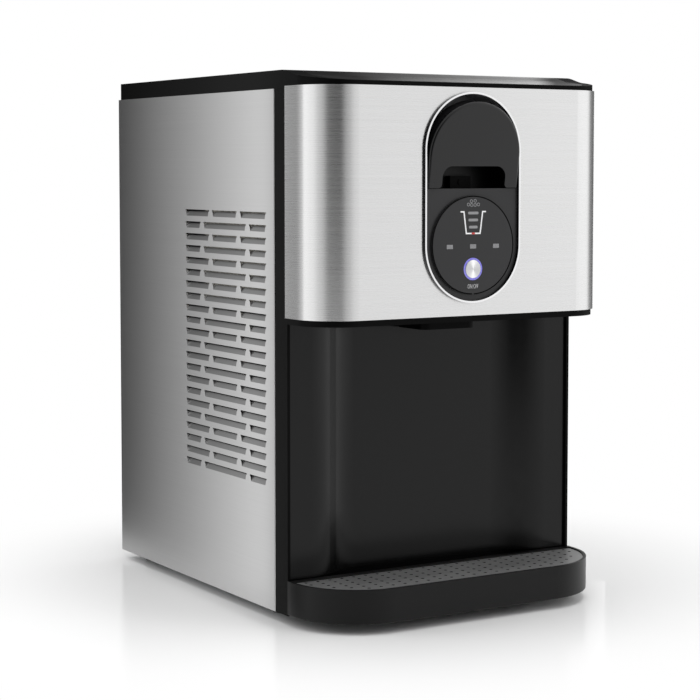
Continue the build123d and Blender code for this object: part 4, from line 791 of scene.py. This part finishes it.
@dataclass(frozen=True)
class FinStack(Finish):
    """Thin aluminium fins pressed on tubes: bright edges, with painted shade in the spaces between
    them.
    """

    metallic: float = 1.0
    gap_every_mm: float = 20.106
    # Painted shade: the colour between the fins.
    gap: str = "2b2d2f"
    depth_mm: float = 0.8

    def work(self, surface: Surface) -> None:
        """Draw the fins' edges as bands across the stack's length, with painted shade between them.

        Args:
            surface: the material's surface.
        """
        settings = {"wave_type": "BANDS", "bands_direction": "Y", "wave_profile": "SIN"}
        inputs: Inputs = {
            "Vector": surface.scaled(self.gap_every_mm),
            "Scale": 2 * math.pi / WAVE_STRETCH,
            "Distortion": 0.0,
        }
        bands = add_node(surface.tree, "TexWave", settings, inputs).outputs["Fac"]
        surface.feed({"Base Color": surface.tint(bands, self.gap, self.colour)})
        surface.emboss(bands, self.depth_mm)


@dataclass(frozen=True)
class ClearTube(Finish):
    """Silicone hose: milky, lets some light through."""

    swing: Span = (0.0, 0.1)
    clearness: float = 0.5
    bending: float = 1.41
    streak_mm: Point = (4.0, 4.0, 20.0)

    def work(self, surface: Surface) -> None:
        """Let light through, and cloud it in streaks.

        Args:
            surface: the material's surface.
        """
        surface.feed({"Transmission Weight": self.clearness, "IOR": self.bending})
        self.vary_gloss(surface, surface.noise(self.streak_mm))


@dataclass(frozen=True)
class LitLens(Finish):
    """A diffusing lens over a lamp: it glows, paler where its moulded grain is thick."""

    glow: str = "5b5cff"
    power: float = 1.0
    pale_share: float = 0.3
    lump_mm: float = 1.5

    def work(self, surface: Surface) -> None:
        """Light the lens through the lumps of its diffuser.

        Args:
            surface: the material's surface.
        """
        lumps = surface.noise(self.lump_mm)
        shade = surface.fleck(lumps, self.glow, "ffffff", self.pale_share)
        surface.feed({"Emission Color": shade, "Emission Strength": self.power})


@dataclass(frozen=True)
class ScreenInk(Finish):
    """Pad-printed ink: a thin film of one colour, thinner in spots where the pad lifted."""

    thin: str = "8c8c8e"
    thin_share: float = 0.5
    spot_mm: float = 0.8

    def work(self, surface: Surface) -> None:
        """Let the film thin out in spots.

        Args:
            surface: the material's surface.
        """
        spots = surface.noise(self.spot_mm)
        shade = surface.fleck(spots, self.colour, self.thin, self.thin_share)
        surface.feed({"Base Color": shade})


STAINLESS = BrushedSteel("brushed_304_stainless", "#dedede", 0.27, depth_mm=0.0013)
# The louvres get painted shade on their sloped faces and a painted highlight on their ends.
PANEL_STEEL = PressedSteel("brushed_430_panel_steel", "#c5c5c5", 0.34, line_mm=0.6)
POLISHED_STEEL = BrushedSteel("polished_304_steel", "#b4b4b4", 0.3, line_mm=0.8, anisotropy=0.2)
# The grid's hole walls get painted shade.
GRID_STEEL = PunchedSteel(
    "punched_304_grid_steel", "#c4c4c4", 0.42, metallic=0.85, line_mm=0.8, anisotropy=0.2
)
GALVANISED = SpangledZinc("galvanised_sheet", "#a8abad", 0.38)
# Painted shade: the black of the ring's walls stands in for the shade and dark reflection along
# them.
RING_CHROME = FoiledPlastic("chrome_foiled_abs", "#0c0c0d", 0.12)
SCREW_ZINC = PlatedSteel("bright_zinc_screws", "#b9babd", 0.28)
SPRING_STEEL = PlatedSteel("drawn_spring_steel", "#8c8c8f", 0.3)
NICKEL = PlatedSteel("nickel_plated_copper", "#c2bdb2", 0.22)
BUTTON_METAL = SpunMetal("spun_aluminium_button", "#d3d3d5", 0.3, axis_height_mm=284.6)
BLACK_ABS = MouldedPlastic("black_moulded_abs", "#060606", 0.45, specular=0.05, worn="0a0a0a")
SPLASH_ABS = PolishedPlastic("satin_black_splash_abs", "#080808", 0.2, specular=0.24)
TRAY_ABS = PolishedPlastic("satin_black_tray_abs", "#080808", 0.28, specular=0.2)
LID_ABS = PolishedPlastic("gloss_black_lid_abs", "#060606", 0.16, specular=0.13)
FLAP_ABS = PolishedPlastic("gloss_black_flap_abs", "#0b0b0c", 0.12, specular=0.44, swell_mm=40.0)
PANEL_ABS = MouldedPlastic(
    "printed_panel_abs", "#2c2c2d", 0.36, specular=0.25, worn="303031", grain_mm=0.6
)
# Painted light and shade: this grey is lighter than the moulding's own to stand in for light deep
# in the housing, and below 388 mm the housing is painted black as painted shade.
HOUSING_ABS = ShadePaintedPlastic(
    "dark_housing_abs", "#747476", 0.4, specular=0.3, worn="7c7c7e", painted_shade_top_mm=388.0
)
WHITE_PP = MouldedPlastic("white_food_grade_pp", "#e9eaea", 0.4, worn="dfe0df")
ACETAL = MouldedPlastic("natural_acetal", "#e6e3d8", 0.35, worn="d9d6ca")
FOAM = ExpandedFoam("bead_foam", "#ece9e0", 0.8)
RUBBER = MouldedRubber("black_nitrile_rubber", "#191919", 0.75)
GASKET = MouldedRubber("grey_silicone_gasket", "#55565a", 0.7, bloom="6a6b6f")
COPPER = DrawnCopper("drawn_copper", "#c98358", 0.25)
ENAMEL = PolishedPlastic("stoved_black_enamel", "#0c0c0c", 0.3, swell_mm=5.0, depth_mm=0.05)
BOARD = PrintedBoard("green_circuit_board", "#14502e", 0.4)
FINS = FinStack("aluminium_fin_stack", "#c4c8cc", 0.35)
SILICONE = ClearTube("silicone_hose", "#d8dcdc", 0.3)
BLUE_LIGHT = LitLens("blue_light_ring", "#3c3a8c", 0.3, glow="8279eb", power=0.5)
LAMP_LENS = PolishedPlastic("frosted_lamp_lens", "#808082", 0.4, swell_mm=4.0)
WHITE_INK = ScreenInk("white_pad_print", "#f2f2f3", 0.55, thin="d8d8da")
GREY_INK = ScreenInk("grey_pad_print", "#8f8f91", 0.55, thin="7c7c7e")
BLACK_INK = ScreenInk("black_pad_print", "#020202", 0.7, specular=0.05, thin="060606")
RED_INK = ScreenInk("red_pad_print", "#c8403c", 0.5, thin="a83632")

NODE_FINISH: dict[str, Finish] = {
    node: finish
    for finish, nodes in (
        (POLISHED_STEEL, "auger"),
        (ACETAL, "auger_bush"),
        (GALVANISED, "auger_motor base_plate deck fan_motor rear_panel tray_motor"),
        (FOAM, "bin_insulation"),
        (BLUE_LIGHT, "button_light_ring"),
        (SPRING_STEEL, "button_spring flap_pin flap_spring gate_pin lid_hinge_pins"),
        (SCREW_ZINC, "casing_screws compressor_bolts"),
        (
            BLACK_ABS,
            "chute chute_gate fan_blade fan_shroud flap_switch front_frame head_floor "
            "ice_level_sensor power_inlet top_frame water_pump",
        ),
        (ENAMEL, "compressor"),
        (RUBBER, "compressor_mounts rubber_feet"),
        (FINS, "condenser"),
        (BOARD, "control_board power_board"),
        (HOUSING_ABS, "control_housing"),
        (PANEL_ABS, "control_panel"),
        (FLAP_ABS, "dispense_flap"),
        (SILICONE, "drain_pipe water_hoses"),
        (GASKET, "drain_plug lid_gasket"),
        (GRID_STEEL, "drip_grid"),
        (TRAY_ABS, "drip_tray"),
        (NICKEL, "evaporator"),
        (COPPER, "filter_drier refrigerant_pipes"),
        (STAINLESS, "head_shell"),
        (WHITE_PP, "ice_bin ice_slide lid_liner maker_frame water_tank water_tray"),
        (LAMP_LENS, "lamp_windows"),
        (PANEL_STEEL, "left_side_panel right_side_panel"),
        (LID_ABS, "lid"),
        (BUTTON_METAL, "power_button"),
        (SPLASH_ABS, "splash_panel"),
        (RING_CHROME, "trim_ring"),
    )
    for node in nodes.split()
}


def finished(shape: Shape, name: str, finish: Finish, body: str) -> Thing:
    """Turn a bmesh into a flat-shaded piece that rides on a CAD body.

    Args:
        shape: the piece's mesh in the row frame, in metres; it is freed here.
        name: the piece's name.
        finish: the surface it gets.
        body: the CAD body it rides on.

    Returns:
        The new object.
    """
    bmesh.ops.recalc_face_normals(shape, faces=shape.faces[:])
    for face in shape.faces:
        face.smooth = False
    piece = meshed(shape, name, finish.build())
    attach(piece, body)
    log.info("%s: %d faces on %s", name, len(piece.data.polygons), body)
    return piece


@dataclass
class ButtonSpring:
    """The coil spring behind the power button, which shortens as the button goes in; this class
    only gives it a smooth skin.

    The travel and the weld are in millimetres, and the angles in degrees.
    """

    joint: str = "button_press"
    travel: float = 1.5
    weld: float = 0.002
    flat_angle: float = 0.05
    sharp_angle: float = 32.0

    def build(self, frame: dict[str, object]) -> None:
        """Let a copy of the spring stand for it.
        """
        spring = self.skin(frame, "button_spring")
        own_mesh(spring)

    def skin(self, frame: dict[str, object], name: str) -> Thing:
        """Make a smooth skin from a CAD node, whose triangles are loose, and let it stand for it.

        Args:
            name: the CAD node's name.

        Returns:
            The skin.
        """
        node = frame["nodes"][name]
        shape = bmesh.new()
        shape.from_mesh(node.data)
        bmesh.ops.remove_doubles(shape, verts=shape.verts[:], dist=self.weld * MILLIMETRE)
        bmesh.ops.dissolve_limit(
            shape,
            angle_limit=math.radians(self.flat_angle),
            verts=shape.verts[:],
            edges=shape.edges[:],
            use_dissolve_boundaries=False,
        )
        for face in shape.faces:
            face.smooth = True
        sharp = math.radians(self.sharp_angle)
        for edge in shape.edges:
            edge.smooth = len(edge.link_faces) == 2 and edge.calc_face_angle() < sharp
        piece = meshed(shape, name + "_skin", NODE_FINISH[name].build())
        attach(piece, node["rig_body"])
        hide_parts(name)
        log.info("%s: %d faces", piece.name, len(piece.data.polygons))
        return piece


@dataclass
class PanelMarks:
    """The marks printed on the control panel: a cup, its level bars, ice, a ring and ON/OFF.

    Lengths are in millimetres, and heights are above the middle of the panel's raised disc. The
    panel's face and that middle are read from the frame, in metres.
    """

    face: float = field(init=False, default=0.0)
    middle: float = field(init=False, default=0.0)
    disc_rise: float = 44.8
    proud: float = 0.12
    stroke: float = 1.15
    cup_lip_half: float = 12.4
    cup_top_half: float = 8.6
    cup_base_half: float = 6.2
    cup_top: float = 27.4
    cup_base: float = 10.0
    bar_widths: Point = (10.1, 9.3, 8.4)
    bar_levels: Point = (25.8, 20.2, 14.5)
    bar_height: float = 2.2
    dot_width: float = 3.2
    dot_height: float = 1.5
    dot_coats: int = 2
    round_share: float = 0.42
    round_steps: int = 5
    ice_places: tuple[Span, ...] = (
        (-4.8, 32.6),
        (-1.6, 32.2),
        (1.7, 32.2),
        (4.9, 32.6),
        (-1.9, 35.3),
        (1.8, 35.5),
    )
    ice_sides: int = 6
    ice_radius: float = 1.55
    ice_line: float = 0.5
    ring_radius: float = 39.2
    ring_line: float = 0.9
    ring_gap_degrees: float = 2.4
    ring_steps: int = 180
    label: str = "ON/OFF"
    label_level: float = -33.3
    label_height: float = 5.2
    label_squeeze: float = 0.56
    label_thinning: float = 0.13
    label_curve_steps: int = 4
    label_weld: float = 0.001

    def build(self) -> None:
        """Print every mark on the panel's face."""
        low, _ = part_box("control_panel")
        self.face = low.y
        self.middle = low.z + self.disc_rise * MILLIMETRE
        self.cup()
        self.dot()
        self.bars()
        self.ice()
        self.ring()
        self.words()

    def at(self, x: float, z: float) -> Vector:
        """Return the point on the panel's face that is x and z millimetres from its middle."""
        return Vector((x * MILLIMETRE, self.face, self.middle + z * MILLIMETRE))

    def lift(self, shape: Shape, made: list[object], coats: int = 1) -> None:
        """Move the new vertices of an extrusion forward by the thickness of the ink.

        Args:
            shape: the mesh.
            made: what the extrusion made.
            coats: how many films thick the ink is.
        """
        front = [part for part in made if isinstance(part, bmesh.types.BMVert)]
        bmesh.ops.translate(
            shape, verts=front, vec=(0.0, -self.proud * coats * MILLIMETRE, 0.0)
        )

    def raised(self, shape: Shape, name: str, ink: Finish, coats: int = 1) -> Thing:
        """Give flat marks the thickness of an ink film.

        Args:
            shape: faces that lie on the panel's face.
            name: the mark's name.
            ink: its ink.
            coats: how many films thick it is.

        Returns:
            The mark.
        """
        film = bmesh.ops.extrude_face_region(shape, geom=shape.faces[:])
        self.lift(shape, film["geom"], coats)
        return finished(shape, name, ink, "cabinet")

    def plate(self, shape: Shape, x: float, z: float, width: float, height: float) -> None:
        """Add a flat bar with round ends.

        Args:
            shape: the mesh that takes the bar.
            x: the bar's middle, in millimetres.
            z: the bar's middle, in millimetres.
            width: its width.
            height: its height.
        """
        size = Matrix.Diagonal((width * MILLIMETRE, height * MILLIMETRE, 1.0, 1.0))
        place = Matrix.Translation(self.at(x, z)) @ UPRIGHT @ size
        made = bmesh.ops.create_grid(shape, x_segments=1, y_segments=1, size=0.5, matrix=place)
        bmesh.ops.bevel(
            shape,
            geom=made["verts"],
            affect="VERTICES",
            offset=min(width, height) * self.round_share * MILLIMETRE,
            segments=self.round_steps,
            profile=0.5,
            material=-1,
        )

    def cup(self) -> None:
        """Draw the cup as one line, with lips at its top."""
        line = [
            (-self.cup_lip_half, self.cup_top),
            (-self.cup_top_half, self.cup_top),
            (-self.cup_base_half, self.cup_base),
            (self.cup_base_half, self.cup_base),
            (self.cup_top_half, self.cup_top),
            (self.cup_lip_half, self.cup_top),
        ]
        shape = bmesh.new()
        points = [shape.verts.new(self.at(x, z)) for x, z in line]
        edges = [shape.edges.new(pair) for pair in zip(points, points[1:])]
        wall = bmesh.ops.extrude_edge_only(shape, edges=edges)
        self.lift(shape, wall["geom"])
        bmesh.ops.solidify(shape, geom=shape.faces[:], thickness=self.stroke * MILLIMETRE)
        finished(shape, "cup_mark", WHITE_INK, "cabinet")

    def dot(self) -> None:
        """Draw the red dot in the cup's base."""
        shape = bmesh.new()
        self.plate(shape, 0.0, self.cup_base - self.stroke / 2, self.dot_width, self.dot_height)
        self.raised(shape, "base_dot_mark", RED_INK, self.dot_coats)

    def bars(self) -> None:
        """Draw the three level bars inside the cup."""
        shape = bmesh.new()
        for width, level in zip(self.bar_widths, self.bar_levels):
            self.plate(shape, 0.0, level, width, self.bar_height)
        self.raised(shape, "level_bars_mark", GREY_INK)

    def ice(self) -> None:
        """Draw the small heap of ice over the cup as six-sided outlines."""
        shape = bmesh.new()
        for x, z in self.ice_places:
            bmesh.ops.create_circle(
                shape,
                cap_ends=True,
                segments=self.ice_sides,
                radius=self.ice_radius * MILLIMETRE,
                matrix=Matrix.Translation(self.at(x, z)) @ UPRIGHT,
            )
        pieces = shape.faces[:]
        bmesh.ops.inset_individual(shape, faces=pieces, thickness=self.ice_line * MILLIMETRE)
        bmesh.ops.delete(shape, geom=pieces, context="FACES_ONLY")
        self.raised(shape, "ice_heap_mark", GREY_INK)

    def ring(self) -> None:
        """Draw the dark ring round the controls, open at its bottom."""
        shape = bmesh.new()
        inner = shape.verts.new(self.at(0.0, -self.ring_radius + self.ring_line / 2))
        outer = shape.verts.new(self.at(0.0, -self.ring_radius - self.ring_line / 2))
        line = shape.edges.new((inner, outer))
        centre = self.at(0.0, 0.0)
        half_gap = math.radians(self.ring_gap_degrees / 2)
        turn = Matrix.Rotation(half_gap, 3, "Y")
        bmesh.ops.rotate(shape, verts=[inner, outer], cent=centre, matrix=turn)
        bmesh.ops.spin(
            shape,
            geom=[inner, outer, line],
            cent=centre,
            axis=(0.0, 1.0, 0.0),
            angle=2 * math.pi - 2 * half_gap,
            steps=self.ring_steps,
            use_merge=False,
        )
        self.raised(shape, "control_ring_mark", BLACK_INK)

    def words(self) -> None:
        """Set ON/OFF under the button."""
        text = bpy.data.curves.new("on_off_label", "FONT")
        text.body = self.label
        text.size = self.label_height * MILLIMETRE
        text.align_x = "CENTER"
        text.align_y = "CENTER"
        text.extrude = self.proud * MILLIMETRE
        text.resolution_u = self.label_curve_steps
        text.offset = -self.label_thinning * MILLIMETRE
        written = in_scene("on_off_label_curve", text)
        bpy.context.view_layer.update()
        mesh = bpy.data.meshes.new_from_object(written)
        bpy.data.objects.remove(written)
        shape = bmesh.new()
        shape.from_mesh(mesh)
        bpy.data.meshes.remove(mesh)
        narrow = Matrix.Diagonal((self.label_squeeze, 1.0, 1.0, 1.0))
        place = Matrix.Translation(self.at(0.0, self.label_level)) @ UPRIGHT @ narrow
        bmesh.ops.transform(shape, matrix=place, verts=shape.verts[:])
        bmesh.ops.remove_doubles(shape, verts=shape.verts[:], dist=self.label_weld * MILLIMETRE)
        finished(shape, "on_off_label", WHITE_INK, "cabinet")


@dataclass(frozen=True)
class Softbox:
    """A soft lamp, in metres and watts, that no gloss mirrors."""

    name: str
    place: Point
    size: Span
    power: float

    def hang(self, target: Point) -> None:
        """Hang the lamp.

        Args:
            target: the point that it faces.
        """
        data = bpy.data.lights.new(self.name, "AREA")
        data.shape = "RECTANGLE"
        data.size, data.size_y = self.size
        data.energy = self.power
        lamp = in_scene(self.name, data)
        lamp.location = self.place
        lamp.visible_glossy = False
        facing = Vector(target) - Vector(self.place)
        lamp.rotation_euler = facing.to_track_quat("-Z", "Y").to_euler()


@dataclass
class Studio:
    """The photograph's camera, a pale floor and soft lights.

    Lengths are in metres and angles in degrees. Walls, ceiling and card tones are grey levels.
    """

    stand: Point = (-0.8780, -1.44265, 0.3653)
    azimuth: float = -31.16
    pitch: float = 3.8
    focal_px: float = 1910.0
    horizon_row: float = 168.4
    sensor_mm: float = 36.0
    clip: Span = (0.05, 20.0)
    floor_radius: float = 1.6
    floor_sides: int = 96
    floor_colour: str = "fbfbfb"
    floor_roughness: float = 0.16
    floor_fade: Span = (0.22, 0.44)
    fill: float = 1.3
    ceiling_rise: Span = (0.45, 0.8)
    ceiling_level: float = 0.9
    card_away: float = 0.18
    card_height: float = 1.6
    card_span: Span = (-0.13, 0.87)
    card_power: float = 1.15
    card_tones: tuple[Span, ...] = (
        (-0.13, 0.70),
        (-0.10, 0.34),
        (-0.055, 0.22),
        (-0.03, 1.0),
        (0.12, 0.47),
        (0.275, 0.065),
    )
    turn: Span = (-180.0, 180.0)
    walls: tuple[Span, ...] = (
        (-180.0, 0.70),
        (-168.0, 0.30),
        (-156.0, 0.20),
        (-144.0, 0.32),
        (-134.0, 0.42),
        (-118.0, 1.0),
        (-92.0, 0.86),
        (-69.0, 0.50),
        (-45.0, 0.05),
        (-18.0, 0.02),
        (2.0, 0.37),
        (20.0, 0.65),
        (33.0, 0.75),
        (45.0, 0.94),
        (78.0, 0.94),
        (98.0, 0.20),
        (128.0, 0.08),
        (146.0, 0.36),
        (180.0, 0.70),
    )
    target: Point = (0.0, 0.0, 0.25)
    softboxes: tuple[Softbox, ...] = (
        Softbox("front_right_softbox", (1.1, -1.5, 0.7), (0.9, 1.3), 8.0),
        Softbox("top_softbox", (0.1, -0.1, 1.8), (1.2, 1.2), 16.0),
        Softbox("left_softbox", (-1.4, 0.5, 0.7), (0.8, 1.2), 6.0),
    )

    def build(self) -> None:
        """Set up the whole studio."""
        self.camera()
        self.floor()
        self.world()
        paper = self.paper()
        for side in Side:
            self.card(side, paper)
        for softbox in self.softboxes:
            softbox.hang(self.target)

    def camera(self) -> None:
        """Set up the camera, a little pitched, with the rest of the framing as lens shift."""
        data = bpy.data.cameras.new("photo_camera")
        data.sensor_width = self.sensor_mm
        data.lens = self.focal_px * self.sensor_mm / PHOTO_SIDE
        rise = PHOTO_SIDE / 2 - self.horizon_row
        data.shift_y = (self.focal_px * math.tan(math.radians(self.pitch)) - rise) / PHOTO_SIDE
        data.clip_start, data.clip_end = self.clip
        camera = in_scene("photo_camera", data)
        camera.location = self.stand
        camera.rotation_euler = (math.radians(90.0 - self.pitch), 0.0, math.radians(self.azimuth))
        bpy.context.scene.camera = camera

    def floor(self) -> None:
        """Lay a white glossy floor that fades into the white background."""
        material = bpy.data.materials.new("white_studio_floor")
        material.use_nodes = True
        tree = material.node_tree
        gloss = tree.nodes["Principled BSDF"]
        colour = linear(self.floor_colour)
        feed(tree, gloss, {"Base Color": colour, "Roughness": self.floor_roughness})
        where = add_node(tree, "TexCoord").outputs["Object"]
        reach = add_node(tree, "VectorMath", {"operation": "LENGTH"}, {0: where})
        fade = remap(tree, reach.outputs["Value"], self.floor_fade, smooth=True)
        glow = add_node(tree, "Emission", inputs={"Color": WHITE, "Strength": 1.0})
        blend(tree.nodes["Material Output"], fade, gloss, glow)
        shape = bmesh.new()
        bmesh.ops.create_circle(
            shape, cap_ends=True, segments=self.floor_sides, radius=self.floor_radius
        )
        floor = meshed(shape, "floor", material)

    def world(self) -> None:
        """Surround the object with a studio: bright walls with dark gaps, and a bright ceiling.

        The camera sees plain white behind the object.
        """
        world = bpy.data.worlds.new("studio")
        bpy.context.scene.world = world
        world.use_nodes = True
        tree = world.node_tree
        tree.nodes.clear()
        way = split(tree, "Generated")
        ahead = add_node(tree, "Math", {"operation": "MULTIPLY"}, {0: way.outputs["Y"], 1: -1.0})
        inputs: Inputs = {0: way.outputs["X"], 1: ahead.outputs[0]}
        azimuth = add_node(tree, "Math", {"operation": "ARCTAN2"}, inputs)
        share = remap(tree, azimuth.outputs[0], (-math.pi, math.pi))
        walls = add_node(tree, "ValToRGB", inputs={"Fac": share})
        walls.color_ramp.interpolation = "EASE"
        grade(walls, self.walls, self.turn)
        height = remap(tree, way.outputs["Z"], self.ceiling_rise, smooth=True)
        level = self.ceiling_level / self.fill
        inputs = {"Factor": height, "A": walls.outputs["Color"], "B": (level, level, level, 1.0)}
        roof = add_node(tree, "Mix", {"data_type": "RGBA"}, inputs)
        inputs = {"Color": roof.outputs["Result"], "Strength": self.fill}
        fill = add_node(tree, "Background", inputs=inputs)
        white = add_node(tree, "Background", inputs={"Color": WHITE, "Strength": 1.0})
        seen = add_node(tree, "LightPath").outputs["Is Camera Ray"]
        blend(add_node(tree, "OutputWorld"), seen, fill, white)

    def paper(self) -> bpy.types.Material:
        """Make the cards' glow, graded from front to back.

        It is on their inner side only, so that the floor doesn't mirror their backs.

        Returns:
            The material.
        """
        material = bpy.data.materials.new("graded_card")
        material.use_nodes = True
        tree = material.node_tree
        tree.nodes.remove(tree.nodes["Principled BSDF"])
        share = remap(tree, split(tree, "Object").outputs["Y"], self.card_span)
        tones = add_node(tree, "ValToRGB", inputs={"Fac": share})
        grade(tones, self.card_tones, self.card_span)
        inputs: Inputs = {"Color": tones.outputs["Color"], "Strength": self.card_power}
        glow = add_node(tree, "Emission", inputs=inputs)
        clear = add_node(tree, "BsdfTransparent")
        back = add_node(tree, "NewGeometry").outputs["Backfacing"]
        blend(tree.nodes["Material Output"], back, glow, clear)
        return material

    def card(self, side: Side, paper: bpy.types.Material) -> None:
        """Stand a graded card beside the object, for its side panel to reflect.

        Args:
            side: the side that it stands on.
            paper: its material.
        """
        low, high = self.card_span
        middle = (side.value * self.card_away, (low + high) / 2, self.card_height / 2)
        place = (
            Matrix.Translation(middle)
            @ Matrix.Rotation(math.radians(-90.0 * side.value), 4, "Y")
            @ Matrix.Diagonal((self.card_height, high - low, 1.0, 1.0))
        )
        shape = bmesh.new()
        bmesh.ops.create_grid(shape, x_segments=1, y_segments=1, size=0.5, matrix=place)
        card = meshed(shape, "side_card", paper)
        card.visible_camera = False
        card.visible_diffuse = False
        card.visible_shadow = False
        card.visible_transmission = False


def main() -> None:
    """Load the frame, dress it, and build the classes."""
    logging.basicConfig(level=logging.INFO, format="%(name)s: %(message)s")
    bpy.context.scene.view_settings.view_transform = "Standard"
    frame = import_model()
    for name, node in frame["nodes"].items():
        node.data.materials.clear()
        node.data.materials.append(NODE_FINISH[name].build())
        for polygon in node.data.polygons:
            polygon.material_index = 0
        log.info("%s: dressed in %s", name, NODE_FINISH[name].name)
    ButtonSpring().build(frame)
    PanelMarks().build()
    Studio().build()


if __name__ == "__main__":
    main()
